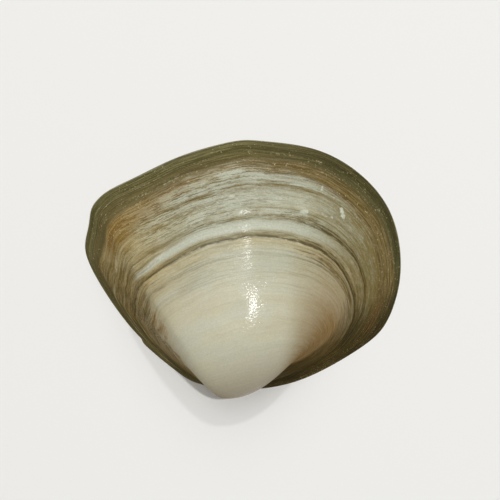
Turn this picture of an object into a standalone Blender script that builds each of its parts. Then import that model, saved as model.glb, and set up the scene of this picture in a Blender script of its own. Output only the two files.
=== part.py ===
"""One valve of a Baltic tellin, lying with its hollow down.

The valve is the left one of the pair. +X points to its rounded front end, +Y to its free lower
edge, -Y to its beak and hinge, and +Z out of the hollow. Its edge and its hinge plate lie in the
plane z = 0.

The outer wall is grown as the animal grew it. Each older growth line is the finished edge made
smaller and turned about the hinge axis, so the lines together form a spiral that ends in the beak.
The inner wall lies one wall thickness inside that surface, and the thick hinge plate closes it
under the beak.
"""

import math

import bpy
import numpy as np
from mathutils.bvhtree import BVHTree

MM = 0.001

# The finished edge in plan, anticlockwise from the front end, in millimetres.
EDGE_MM = (
    (12.9, 0.1),
    (12.1, 4.5),
    (9.4, 7.9),
    (5.7, 9.9),
    (1.9, 10.5),
    (0.0, 10.6),
    (-1.8, 10.3),
    (-5.3, 9.3),
    (-8.9, 7.6),
    (-11.1, 6.5),
    (-12.0, 5.7),
    (-12.5, 4.9),
    (-12.7, 3.6),
    (-13.0, 2.0),
    (-12.5, 0.1),
    (-10.2, -3.6),
    (-7.7, -6.4),
    (-5.0, -8.6),
    (-3.4, -9.5),
    (0.1, -9.9),
    (3.8, -9.4),
    (7.1, -8.0),
    (10.4, -5.9),
    (11.6, -4.6),
    (12.4, -2.8),
)
EDGE_STEPS = 88
BEND_SHARE = 0.5

# The growth spiral: its pole, the depth of the pole below the edge and the way of the hinge axis.
POLE = (-0.34 * MM, -7.23 * MM)
POLE_DEPTH = 2.36 * MM
HINGE_ANGLE = math.radians(15.2)
SHRINK_PER_RADIAN = 0.718
MOST_TURN = 2.6
TURN_SHARPNESS = 4.0

# The beak leaves the pole, back over the hinge, as the lines get small.
BEAK_SHIFT = (-0.64 * MM, -2.32 * MM)
BEAK_SHIFT_POWER = 2.66
BEAK_HEIGHT = 0.65 * MM
SMALLEST_LINE = 0.02

# How high the wall stands: a share of the true spiral, which leaves the flat front flange above 0.
HEIGHT_SHARE = 0.87
FLANGE_SOFTNESS = 4.1 * MM

# The younger shell had a more pointed posterior corner and a straighter posterior slope. Each row
# holds a place on the edge, the reach of the difference and how far out it goes.
YOUNG_BUMPS_MM = (
    (-12.7, 4.4, 1.5, 0.60),
    (-12.0, -0.8, 3.4, -0.50),
    (12.9, 1.5, 3.0, 0.25),
)
YOUNG_SIZES = (0.98, 0.76)

# The infant shell was a plain oval. Its outline is the young one blurred along its own length.
OVAL_BLUR = 3.0 * MM
OVAL_SIZES = (0.66, 0.34)

# The stretch of edge under the beak, where the wall is a short slope up to the beak.
HINGE_FROM = (-3.4 * MM, -9.5 * MM)
HINGE_TO = (2.2 * MM, -9.7 * MM)
HINGE_FADE = 2.0 * MM

# The wall's thickness at the edge and in the middle, and how far in it is full.
EDGE_THICKNESS = 0.16 * MM
WALL_THICKNESS = 0.62 * MM
THICKENING_LENGTH = 2.0 * MM

# The flat rim that the valve rests on. It widens into the hinge plate under the beak.
RIM_WIDTH = 0.22 * MM
RIM_STEP = 0.05 * MM
PLATE_WIDTH = 1.5 * MM
PLATE_FADE = 5.0 * MM
WALL_FOOT = 0.25 * MM
FOOT_SOFTNESS = 0.1 * MM

HOLLOW_MIDDLE = (0.2 * MM, -1.0 * MM)
RING_CROWDING = 1.6
BALL_DIRECTIONS = 16
BELOW_ALL = -1.0 * MM
SMOOTHING_PASSES = 6
THINNEST_WALL = 0.3 * MM

OUTER_ROWS = 28
INNER_ROWS = 16
FINE_EDGE = 2400

CHALK = (0.52, 0.49, 0.38, 1.0)


def clear_scene():
    """Remove every object of the startup scene."""
    for obj in list(bpy.data.objects):
        bpy.data.objects.remove(obj, do_unlink=True)


def smooth_step(value):
    """Go from 0 to 1 with flat ends as value goes from 0 to 1."""
    value = np.clip(value, 0.0, 1.0)
    return value * value * (3.0 - 2.0 * value)


def smooth_ring(points, count):
    """Points of a closed cubic curve through the given ones, with an even slope and curvature.

    The slopes come from the usual condition that the second derivative is the same on both
    sides of each point.
    """
    size = len(points)
    after = np.roll(points, -1, axis=0)
    length = np.linalg.norm(after - points, axis=1) ** 0.5
    before = np.roll(length, 1)
    rows = np.arange(size)
    matrix = np.zeros((size, size))
    matrix[rows, rows] = 2.0 * (before + length)
    matrix[rows, rows - 1] = length
    matrix[rows, (rows + 1) % size] = before
    step_in = (points - np.roll(points, 1, axis=0)) / before[:, None]
    step_out = (after - points) / length[:, None]
    slopes = np.linalg.solve(matrix, 3.0 * (length[:, None] * step_in + before[:, None] * step_out))
    knots = np.concatenate([[0.0], np.cumsum(length)])
    at = np.linspace(0.0, knots[-1], count, endpoint=False)
    piece = np.clip(np.searchsorted(knots, at, side="right") - 1, 0, size - 1)
    u = ((at - knots[piece]) / length[piece])[:, None]
    span = length[piece][:, None]
    return (
        (2.0 * u**3 - 3.0 * u**2 + 1.0) * points[piece]
        + (u**3 - 2.0 * u**2 + u) * span * slopes[piece]
        + (3.0 * u**2 - 2.0 * u**3) * after[piece]
        + (u**3 - u**2) * span * np.roll(slopes, -1, axis=0)[piece]
    )


def spaced_ring(ring, count):
    """Take count points of a closed curve, closer together where it bends."""
    ahead = np.roll(ring, -1, axis=0) - ring
    length = np.linalg.norm(ahead, axis=1)
    heading = np.arctan2(ahead[:, 1], ahead[:, 0])
    turn = np.abs((heading - np.roll(heading, 1) + np.pi) % (2.0 * np.pi) - np.pi)
    weight = length + BEND_SHARE * turn * length.sum() / (2.0 * np.pi)
    travelled = np.concatenate([[0.0], np.cumsum(weight)])
    at = np.linspace(0.0, travelled[-1], count, endpoint=False)
    closed = np.vstack([ring, ring[:1]])
    return np.column_stack([np.interp(at, travelled, closed[:, axis]) for axis in (0, 1)])


def edge_ring(count):
    """The finished edge in plan, in metres."""
    points = np.array(EDGE_MM) * MM
    return spaced_ring(smooth_ring(points, FINE_EDGE), count)


def young_ring(edge):
    """The outline of the younger shell, at its finished size."""
    ring = edge.copy()
    outward = edge - np.array(POLE)
    outward /= np.linalg.norm(outward, axis=1)[:, None]
    for x, y, reach, out in YOUNG_BUMPS_MM:
        gap = np.linalg.norm(edge - np.array((x, y)) * MM, axis=1)
        ring += out * MM * np.exp(-((gap / (reach * MM)) ** 2))[:, None] * outward
    return ring


def blurred_ring(ring):
    """The ring with each point replaced by a bell-shaped average of its neighbours along it."""
    step = np.linalg.norm(np.roll(ring, -1, axis=0) - ring, axis=1)
    at = np.concatenate([[0.0], np.cumsum(step)[:-1]])
    total = step.sum()
    gap = np.abs(at[:, None] - at[None, :])
    gap = np.minimum(gap, total - gap)
    share = np.exp(-0.5 * (gap / OVAL_BLUR) ** 2) * (0.5 * (step + np.roll(step, 1)))[None, :]
    return (share @ ring) / share.sum(axis=1)[:, None]


def share_between(size, sizes):
    """0 at the first size and above, 1 at the second and below."""
    return smooth_step((sizes[0] - size) / (sizes[0] - sizes[1]))


def hinge_share(edge, fade):
    """1 on the edge under the beak, falling to 0 within the fade length on both sides."""
    start = np.array(HINGE_FROM)
    along = np.array(HINGE_TO) - start
    reach = np.clip(((edge - start) @ along) / (along @ along), 0.0, 1.0)
    gap = np.linalg.norm(edge - start - reach[:, None] * along, axis=1)
    return 1.0 - smooth_step(gap / fade)


def turned_by(size):
    """The angle that a line of this size is turned by: even growth, levelling off near the beak."""
    grown = -np.log(size) / SHRINK_PER_RADIAN
    return grown / (1.0 + (grown / MOST_TURN) ** TURN_SHARPNESS) ** (1.0 / TURN_SHARPNESS)


def growth_surface(edge, size):
    """The outer wall: one ring of points for each size of growth line, as an array (size, edge, 3).

    A line is the edge made smaller about the pole and turned about the hinge axis. Across the
    axis its place is size * (across * cos(turn) - depth * sin(turn)), and its height is
    size * softened across * sin(turn).
    """
    size = size[:, None]
    turn = turned_by(size)
    shift = (1.0 - size) ** BEAK_SHIFT_POWER
    along_axis = np.array([math.cos(HINGE_ANGLE), math.sin(HINGE_ANGLE)])
    across_axis = np.array([-along_axis[1], along_axis[0]])
    out = edge - np.array(POLE)
    young_out = young_ring(edge) - np.array(POLE)
    oval_out = blurred_ring(young_ring(edge)) - np.array(POLE)
    young = share_between(size, YOUNG_SIZES)[..., None]
    oval = share_between(size, OVAL_SIZES)[..., None]
    out = out + young * (young_out - out)
    out = out + oval * (oval_out - out)
    along = out @ along_axis
    across = out @ across_axis
    lifted = 0.5 * (across + np.sqrt(across**2 + FLANGE_SOFTNESS**2))
    flat_along = size * along
    flat_across = size * (across * np.cos(turn) - POLE_DEPTH * np.sin(turn))
    plan = (
        np.array(POLE)
        + flat_along[..., None] * along_axis
        + flat_across[..., None] * across_axis
        + shift[..., None] * np.array(BEAK_SHIFT)
    )
    height = HEIGHT_SHARE * size * lifted * np.sin(turn) + BEAK_HEIGHT * (1.0 - size) ** 2
    beak = np.array(POLE) + np.array(BEAK_SHIFT)
    slope_plan = beak + size[..., None] * (edge - beak)
    slope_height = BEAK_HEIGHT * (1.0 - size)
    hinge = hinge_share(edge, HINGE_FADE)
    plan = plan + hinge[:, None] * (slope_plan - plan)
    height = height + hinge * (slope_height - height)
    return np.concatenate([plan, height[..., None]], axis=2)


def inset_ring(edge):
    """The inner side of the flat rim: the edge moved in by the rim's width, most at the hinge."""
    along = np.roll(edge, -1, axis=0) - np.roll(edge, 1, axis=0)
    along /= np.linalg.norm(along, axis=1)[:, None]
    inward = np.column_stack([-along[:, 1], along[:, 0]])
    plate = hinge_share(edge, PLATE_FADE)
    width = RIM_WIDTH + (PLATE_WIDTH - RIM_WIDTH) * plate
    return edge + width[:, None] * inward


def wall_above(tree, x, y):
    """The height where a line going up from a place in plan first meets the outer wall, or 0."""
    hit = tree.ray_cast((x, y, BELOW_ALL), (0.0, 0.0, 1.0))[0]
    return hit.z if hit is not None else 0.0


def height_under_wall(tree, x, y, thickness):
    """The height of the inner wall: the lowest that a ball of the wall's thickness allows.

    The ball rolls inside the outer wall, so its lowest centre over the places round about is
    where the wall is as thick as it should be, measured square to the surface.
    """
    heights = [wall_above(tree, x, y) - thickness]
    for reach in (0.5, 0.85, 1.0):
        drop = thickness * math.sqrt(1.0 - reach * reach)
        for turn in range(BALL_DIRECTIONS):
            angle = 2.0 * math.pi * turn / BALL_DIRECTIONS
            dx = reach * thickness * math.cos(angle)
            dy = reach * thickness * math.sin(angle)
            heights.append(wall_above(tree, x + dx, y + dy) - drop)
    return min(heights)


def inner_surface(edge, outer):
    """The inner wall, as rings from the rim to the middle of the hollow, and its middle point.

    In plan the rings are the inner side of the rim drawn in to the middle. Their heights follow
    the outer wall from one wall thickness below it, and the first ring lies in the plane z = 0.
    """
    count = len(edge)
    faces = np.vstack([ring_faces(r * count, (r + 1) * count, count) for r in range(len(outer) - 1)])
    tree = BVHTree.FromPolygons(outer.reshape(-1, 3).tolist(), faces.tolist())
    rim = inset_ring(edge)
    middle = np.array(HOLLOW_MIDDLE)
    shares = 1.0 - np.linspace(0.0, 1.0, INNER_ROWS + 1) ** RING_CROWDING
    rings = np.zeros((INNER_ROWS, count, 3))
    ceiling = np.zeros((INNER_ROWS, count))
    for row, share in enumerate(shares[:-1]):
        plan = middle + share * (rim - middle)
        rings[row, :, :2] = plan
        if row == 0:
            continue
        from_edge = np.linalg.norm(plan - edge, axis=1)
        grown = 1.0 - np.exp(-from_edge / THICKENING_LENGTH)
        thickness = EDGE_THICKNESS + (WALL_THICKNESS - EDGE_THICKNESS) * grown
        rise = smooth_step(np.linalg.norm(plan - rim, axis=1) / WALL_FOOT)
        for line in range(count):
            under = height_under_wall(tree, *plan[line], thickness[line])
            softened = 0.5 * (under + math.hypot(under, FOOT_SOFTNESS))
            rings[row, line, 2] = rise[line] * (RIM_STEP + softened)
            room = wall_above(tree, *plan[line]) - min(THINNEST_WALL, thickness[line])
            ceiling[row, line] = max(room, rise[line] * RIM_STEP)
    for _ in range(SMOOTHING_PASSES):
        height = rings[..., 2]
        around = 0.25 * (np.roll(height, 1, axis=1) + 2.0 * height + np.roll(height, -1, axis=1))
        rings[1:-1, :, 2] = 0.25 * (around[:-2] + 2.0 * around[1:-1] + around[2:])
        rings[-1, :, 2] = around[-1]
        rings[..., 2] = np.minimum(rings[..., 2], ceiling)
    top = wall_above(tree, *middle) - WALL_THICKNESS
    return rings, np.array([*middle, top])


def centred(*grids):
    """Move the grids so that the middle of the object's box is at x = 0, y = 0."""
    points = np.concatenate([grid.reshape(-1, 3) for grid in grids])
    middle = 0.5 * (points.min(axis=0) + points.max(axis=0))
    middle[2] = 0.0
    return [grid - middle for grid in grids]


def ring_faces(first, second, count):
    """Quads between two rings of the same number of points, given by their first indices."""
    here = np.arange(count)
    there = (here + 1) % count
    return np.column_stack([first + here, first + there, second + there, second + here])


def valve_mesh():
    """The valve as one closed mesh: outer wall, beak, rim and inner wall."""
    edge = edge_ring(EDGE_STEPS)
    size = np.exp(math.log(SMALLEST_LINE) * np.linspace(0.0, 1.0, OUTER_ROWS) ** 1.35)
    outer = growth_surface(edge, size)
    inner, top = inner_surface(edge, outer)
    beak = outer[-1].mean(axis=0)
    outer, inner, beak, top = centred(outer, inner, beak, top)

    count = EDGE_STEPS
    rows = np.concatenate([outer, inner])
    points = np.vstack([rows.reshape(-1, 3), beak, top])
    quads = [ring_faces(r * count, (r + 1) * count, count) for r in range(OUTER_ROWS - 1)]
    last_row = OUTER_ROWS + INNER_ROWS - 1
    for r in range(OUTER_ROWS, last_row):
        quads.append(ring_faces((r + 1) * count, r * count, count))
    quads.append(ring_faces(OUTER_ROWS * count, 0, count))
    here = np.arange(count)
    there = (here + 1) % count
    beak_start = (OUTER_ROWS - 1) * count
    top_start = last_row * count
    beak_point = np.full(count, len(points) - 2)
    top_point = np.full(count, len(points) - 1)
    fans = [
        np.column_stack([beak_start + here, beak_start + there, beak_point]),
        np.column_stack([top_start + there, top_start + here, top_point]),
    ]
    faces = np.vstack(quads).tolist() + np.vstack(fans).tolist()
    mesh = bpy.data.meshes.new("valve")
    mesh.from_pydata(points.tolist(), [], faces)
    mesh.validate()
    mesh.shade_smooth()
    mesh.set_sharp_from_angle(angle=math.radians(50.0))
    return mesh


def shell_material():
    """Chalky aragonite with a dull natural surface."""
    material = bpy.data.materials.new("chalky_shell")
    material.use_nodes = True
    shader = material.node_tree.nodes["Principled BSDF"]
    shader.inputs["Base Color"].default_value = CHALK
    shader.inputs["Roughness"].default_value = 0.45
    shader.inputs["Metallic"].default_value = 0.0
    return material


def main():
    clear_scene()
    valve = bpy.data.objects.new("valve", valve_mesh())
    valve.data.materials.append(shell_material())
    bpy.context.scene.collection.objects.link(valve)


main()
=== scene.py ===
"""A tellin's left valve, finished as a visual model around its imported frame.

The valve lies with its hollow down. +X points to its rounded front end, +Y to its free lower edge,
-Y to its beak and hinge, and +Z up, away from the hollow. Lengths are in metres, and in
millimetres where a name ends in _mm. Two coordinates describe a place on the outer wall, as they
do on a real shell: its growth stage, which is 0 at the beak and 1 at the finished edge, and its
place along that edge, in millimetres from the middle of the free edge, positive towards the front.
"""

import logging
import math
from collections.abc import Sequence
from dataclasses import dataclass, field
from enum import Enum
from types import SimpleNamespace

import bpy
import numpy as np
from numpy.typing import NDArray
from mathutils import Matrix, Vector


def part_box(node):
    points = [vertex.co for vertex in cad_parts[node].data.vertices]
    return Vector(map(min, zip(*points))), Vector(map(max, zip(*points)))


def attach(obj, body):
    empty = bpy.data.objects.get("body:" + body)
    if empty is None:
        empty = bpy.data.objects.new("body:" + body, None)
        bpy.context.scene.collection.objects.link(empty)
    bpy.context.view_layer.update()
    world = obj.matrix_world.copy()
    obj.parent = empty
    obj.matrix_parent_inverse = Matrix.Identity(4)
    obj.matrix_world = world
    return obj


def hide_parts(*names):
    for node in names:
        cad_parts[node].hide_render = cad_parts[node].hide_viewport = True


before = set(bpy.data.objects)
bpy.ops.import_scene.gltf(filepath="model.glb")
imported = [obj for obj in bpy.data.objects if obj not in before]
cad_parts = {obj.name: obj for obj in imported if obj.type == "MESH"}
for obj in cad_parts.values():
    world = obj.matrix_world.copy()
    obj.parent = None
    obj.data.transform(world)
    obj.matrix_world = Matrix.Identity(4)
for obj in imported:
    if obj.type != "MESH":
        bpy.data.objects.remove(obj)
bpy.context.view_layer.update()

Array = NDArray[np.float64]
Colour = tuple[float, float, float, float]
Pair = tuple[float, float]
Rows = tuple[tuple[float, ...], ...]
Socket = bpy.types.NodeSocket
# What an input can be given: a number, a socket, a colour, or a socket and what it is stretched by.
Value = float | Socket | tuple[float | Socket, ...]
Stops = tuple[tuple[float, Colour], ...]

MM = 0.001
LOG = logging.getLogger("valve")


def srgb(code: str) -> Colour:
    """Turn a colour written as rrggbb into linear light.

    Args:
        code: The colour.

    Returns:
        The linear red, green and blue, and 1 for the alpha.
    """
    parts = [int(code[i : i + 2], 16) / 255.0 for i in (0, 2, 4)]
    linear = [p / 12.92 if p <= 0.04045 else ((p + 0.055) / 1.055) ** 2.4 for p in parts]
    return (linear[0], linear[1], linear[2], 1.0)


def smooth_step(value: Array) -> Array:
    """Go from 0 to 1 with flat ends as value goes from 0 to 1."""
    value = np.clip(value, 0.0, 1.0)
    return value * value * (3.0 - 2.0 * value)


def passed(value: Array, start: float, end: float) -> Array:
    """Go from 0 to 1 with flat ends as value goes from start to end."""
    return smooth_step((value - start) / (end - start))


def plateau(distance: Array, reach: float) -> Array:
    """1 near distance 0, falling smoothly to 0 a little past reach: exp(-(distance / reach)^4)."""
    return np.exp(-((distance / reach) ** 4))


def hump(distance: Array, reach: float) -> Array:
    """A bell of height 1: exp(-(distance / reach)^2)."""
    return np.exp(-((distance / reach) ** 2))


def travelled(steps: Array) -> Array:
    """How far each point is from the first, given the steps between the points."""
    return np.concatenate([[0.0], np.cumsum(steps)])


def step_lengths(ring: Array) -> Array:
    """The length of the step from each point of a closed ring to the next."""
    return np.linalg.norm(np.roll(ring, -1, axis=0) - ring, axis=1)


def outward(edge: Array) -> Array:
    """Unit vectors square to an edge that goes round anticlockwise, pointing out of it.

    Args:
        edge: The edge in plan.

    Returns:
        A vector for each point.
    """
    along = np.roll(edge, -1, axis=0) - np.roll(edge, 1, axis=0)
    along /= np.linalg.norm(along, axis=1)[:, None]
    return np.column_stack([along[:, 1], -along[:, 0]])


def in_scene(name: str, data: bpy.types.ID) -> bpy.types.Object:
    """Make an object of its data and put it in the scene.

    Args:
        name: The object's name.
        data: Its mesh, light or camera.

    Returns:
        The object.
    """
    thing = bpy.data.objects.new(name, data)
    bpy.context.scene.collection.objects.link(thing)
    return thing


def to_line(points: Array, start_mm: Pair, end_mm: Pair) -> tuple[Array, Array]:
    """Where points lie beside a short straight line.

    Args:
        points: The points in plan, in metres.
        start_mm: The line's first point.
        end_mm: The line's last point.

    Returns:
        How far along the line each point is, 0 at the first point and 1 at the last, and its
        distance from the line.
    """
    start = np.array(start_mm) * MM
    line = np.array(end_mm) * MM - start
    reach = ((points - start) @ line) / (line @ line)
    gap = points - start - np.clip(reach, 0.0, 1.0)[..., None] * line
    return reach, np.linalg.norm(gap, axis=-1)


# The form of the outer wall


@dataclass(frozen=True)
class Margin:
    """The finished edge of the valve in plan, anticlockwise from the front end.

    The curve is a closed cubic with the same second derivative on both sides of each point. The
    points are rounded readings of the valve's silhouette, most of them taken by a program and the
    others one by one, and nine of them were then moved.
    """

    points_mm: Rows = (
        (12.9, 0.1), (12.1, 4.5), (9.4, 7.9), (5.7, 9.85), (1.9, 10.45), (0, 10.55), (-1.8, 10.25),
        (-5.4, 9.15), (-8.9, 7.5), (-11.1, 6.4), (-12, 5.65), (-12.5, 4.85), (-12.7, 3.6),
        (-13, 2), (-12.5, 0.1), (-10.2, -3.6), (-7.7, -6.4), (-5, -8.6), (-3.4, -9.5), (0.1, -9.9),
        (3.8, -9.4), (7.1, -8), (10.4, -5.9), (11.6, -4.6), (12.4, -2.8),
    )
    free_middle_mm: Pair = (0.4, 10.6)
    bend_share: float = 0.35
    fine_count: int = 6000

    def curve(self, count: int) -> Array:
        """Points of the curve, evenly spaced in its own parameter.

        Args:
            count: How many points.

        Returns:
            The points, in metres, as an array (count, 2).
        """
        points = np.array(self.points_mm) * MM
        size = len(points)
        after = np.roll(points, -1, axis=0)
        length = np.linalg.norm(after - points, axis=1) ** 0.5
        before = np.roll(length, 1)
        rows = np.arange(size)
        matrix = np.zeros((size, size))
        matrix[rows, rows] = 2.0 * (before + length)
        matrix[rows, rows - 1] = length
        matrix[rows, (rows + 1) % size] = before
        step_in = (points - np.roll(points, 1, axis=0)) / before[:, None]
        step_out = (after - points) / length[:, None]
        right = 3.0 * (length[:, None] * step_in + before[:, None] * step_out)
        slopes = np.linalg.solve(matrix, right)
        knots = travelled(length)
        at = np.linspace(0.0, knots[-1], count, endpoint=False)
        piece = np.clip(np.searchsorted(knots, at, side="right") - 1, 0, size - 1)
        u = ((at - knots[piece]) / length[piece])[:, None]
        span = length[piece][:, None]
        return (
            (2.0 * u**3 - 3.0 * u**2 + 1.0) * points[piece]
            + (u**3 - 2.0 * u**2 + u) * span * slopes[piece]
            + (3.0 * u**2 - 2.0 * u**3) * after[piece]
            + (u**3 - u**2) * span * np.roll(slopes, -1, axis=0)[piece]
        )

    def ring(self, count: int) -> Array:
        """Points of the edge, closer together where it bends, in metres (count, 2).

        Args:
            count: How many points.

        Returns:
            The points in plan.
        """
        curve = self.curve(self.fine_count)
        ahead = np.roll(curve, -1, axis=0) - curve
        length = step_lengths(curve)
        heading = np.arctan2(ahead[:, 1], ahead[:, 0])
        turn = np.abs((heading - np.roll(heading, 1) + np.pi) % (2.0 * np.pi) - np.pi)
        weight = length + self.bend_share * turn * length.sum() / (2.0 * np.pi)
        along = travelled(weight)
        at = np.linspace(0.0, along[-1], count, endpoint=False)
        closed = np.vstack([curve, curve[:1]])
        return np.column_stack([np.interp(at, along, closed[:, axis]) for axis in (0, 1)])

    def places(self, edge: Array) -> Array:
        """The place of each point along the edge, in millimetres from the free edge's middle.

        Args:
            edge: The edge in plan.

        Returns:
            One place for each point.
        """
        step = step_lengths(edge)
        at = travelled(step)[:-1]
        total = step.sum()
        middle = np.array(self.free_middle_mm) * MM
        away = at[np.argmin(np.linalg.norm(edge - middle, axis=1))] - at
        return ((away + 0.5 * total) % total - 0.5 * total) / MM


@dataclass(frozen=True)
class GrowthSpiral:
    """How each older growth line lies: the edge made smaller and turned about the hinge axis.

    The pole, its depth, the hinge's angle, the rates and the beak's shift are rounded results of a
    least-squares fit to the growth lines and the beak's outline.
    """

    pole: Pair = (-0.34 * MM, -7.23 * MM)
    pole_depth: float = 2.36 * MM
    hinge_angle: float = math.radians(15.2)
    shrink_per_radian: float = 0.718
    most_turn: float = 2.6
    turn_sharpness: float = 4.0
    beak_shift: Pair = (-0.64 * MM, -2.32 * MM)
    beak_shift_power: float = 2.66
    beak_height: float = 0.65 * MM
    height_share: float = 0.87
    flange_softness: float = 4.1 * MM
    young_bumps_mm: Rows = (
        (-12.6, 4.3, 2.1, 0.42), (-12.0, -0.8, 3.4, -0.5), (12.9, 1.5, 3.0, 0.25),
        (-5.3, 9.3, 3.4, 0.32),
    )
    young_sizes: Pair = (0.98, 0.76)
    oval_blur: float = 3.0 * MM
    oval_sizes: Pair = (0.66, 0.34)
    hinge_from_mm: Pair = (-3.4, -9.5)
    hinge_to_mm: Pair = (2.2, -9.7)
    hinge_fade: float = 2.0 * MM

    @property
    def beak(self) -> Array:
        """The beak's place in plan."""
        return np.array(self.pole) + np.array(self.beak_shift)

    def hinge_share(self, edge: Array, fade: float) -> Array:
        """1 on the edge under the beak, falling to 0 within the fade length on both sides."""
        return 1.0 - smooth_step(to_line(edge, self.hinge_from_mm, self.hinge_to_mm)[1] / fade)

    def young_ring(self, edge: Array) -> Array:
        """The outline of the younger shell at its finished size: a sharper rear corner.

        Each bump is a place in plan, its reach, and how far it moves the outline out.

        Args:
            edge: The finished edge in plan.

        Returns:
            The outline, point for point.
        """
        ring = edge.copy()
        outward = edge - np.array(self.pole)
        outward /= np.linalg.norm(outward, axis=1)[:, None]
        for x, y, reach, out in self.young_bumps_mm:
            gap = np.linalg.norm(edge - np.array((x, y)) * MM, axis=1)
            ring += out * MM * hump(gap, reach * MM)[:, None] * outward
        return ring

    def blurred_ring(self, ring: Array) -> Array:
        """The ring with each point replaced by a bell-shaped average of those near it.

        Args:
            ring: The ring in plan.

        Returns:
            The softened ring.
        """
        step = step_lengths(ring)
        at = travelled(step)[:-1]
        gap = np.abs(at[:, None] - at[None, :])
        gap = np.minimum(gap, step.sum() - gap)
        weight = 0.5 * (step + np.roll(step, 1))
        share = np.exp(-0.5 * (gap / self.oval_blur) ** 2) * weight[None, :]
        return (share @ ring) / share.sum(axis=1)[:, None]

    def surface(self, edge: Array, size: Array) -> Array:
        """The smooth outer wall, one ring of points for each size of growth line.

        Across the hinge axis a point's place is size * (across * cos(turn) - depth * sin(turn)),
        and its height is size * softened across * sin(turn). The turn grows evenly as the size
        shrinks and levels off near the beak. Under the beak the wall is a short slope instead.

        Args:
            edge: The finished edge in plan.
            size: The sizes of the growth lines, from 1 down.

        Returns:
            The points, as an array (size, edge, 3).
        """
        size = size[:, None]
        grown = -np.log(size) / self.shrink_per_radian
        sharp = self.turn_sharpness
        turn = grown / (1.0 + (grown / self.most_turn) ** sharp) ** (1.0 / sharp)
        shift = (1.0 - size) ** self.beak_shift_power
        along_axis = np.array([math.cos(self.hinge_angle), math.sin(self.hinge_angle)])
        across_axis = np.array([-along_axis[1], along_axis[0]])
        pole = np.array(self.pole)
        young_edge = self.young_ring(edge)
        out = edge - pole
        young_out = young_edge - pole
        oval_out = self.blurred_ring(young_edge) - pole
        young = passed(size, *self.young_sizes)
        oval = passed(size, *self.oval_sizes)
        out = out + young[..., None] * (young_out - out)
        out = out + oval[..., None] * (oval_out - out)
        along = out @ along_axis
        across = out @ across_axis
        lifted = 0.5 * (across + np.sqrt(across**2 + self.flange_softness**2))
        flat_along = size * along
        flat_across = size * (across * np.cos(turn) - self.pole_depth * np.sin(turn))
        plan = (
            pole
            + flat_along[..., None] * along_axis
            + flat_across[..., None] * across_axis
            + shift[..., None] * np.array(self.beak_shift)
        )
        height = self.height_share * size * lifted * np.sin(turn)
        height = height + self.beak_height * (1.0 - size) ** 2
        hinge = self.hinge_share(edge, self.hinge_fade)
        slope_plan = self.beak + size[..., None] * (edge - self.beak)
        slope_height = self.beak_height * (1.0 - size)
        plan = plan + hinge[:, None] * (slope_plan - plan)
        height = height + hinge * (slope_height - height)
        return np.concatenate([plan, height[..., None]], axis=2)


@dataclass(frozen=True)
class Check:
    """A growth check, where the animal stopped and went on from under the old edge.

    The wall drops by depth_mm within the stage width, and comes back within the stage recovery.
    """

    stage: float
    depth_mm: float
    width: float
    recovery: float
    place_mm: float = 0.0
    reach_mm: float = 60.0


@dataclass(frozen=True)
class Bend:
    """A place where the growth lines swing off their even course by a shift of stage."""

    stage: float
    half: float
    place_mm: float
    reach_mm: float
    shift: float


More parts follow.
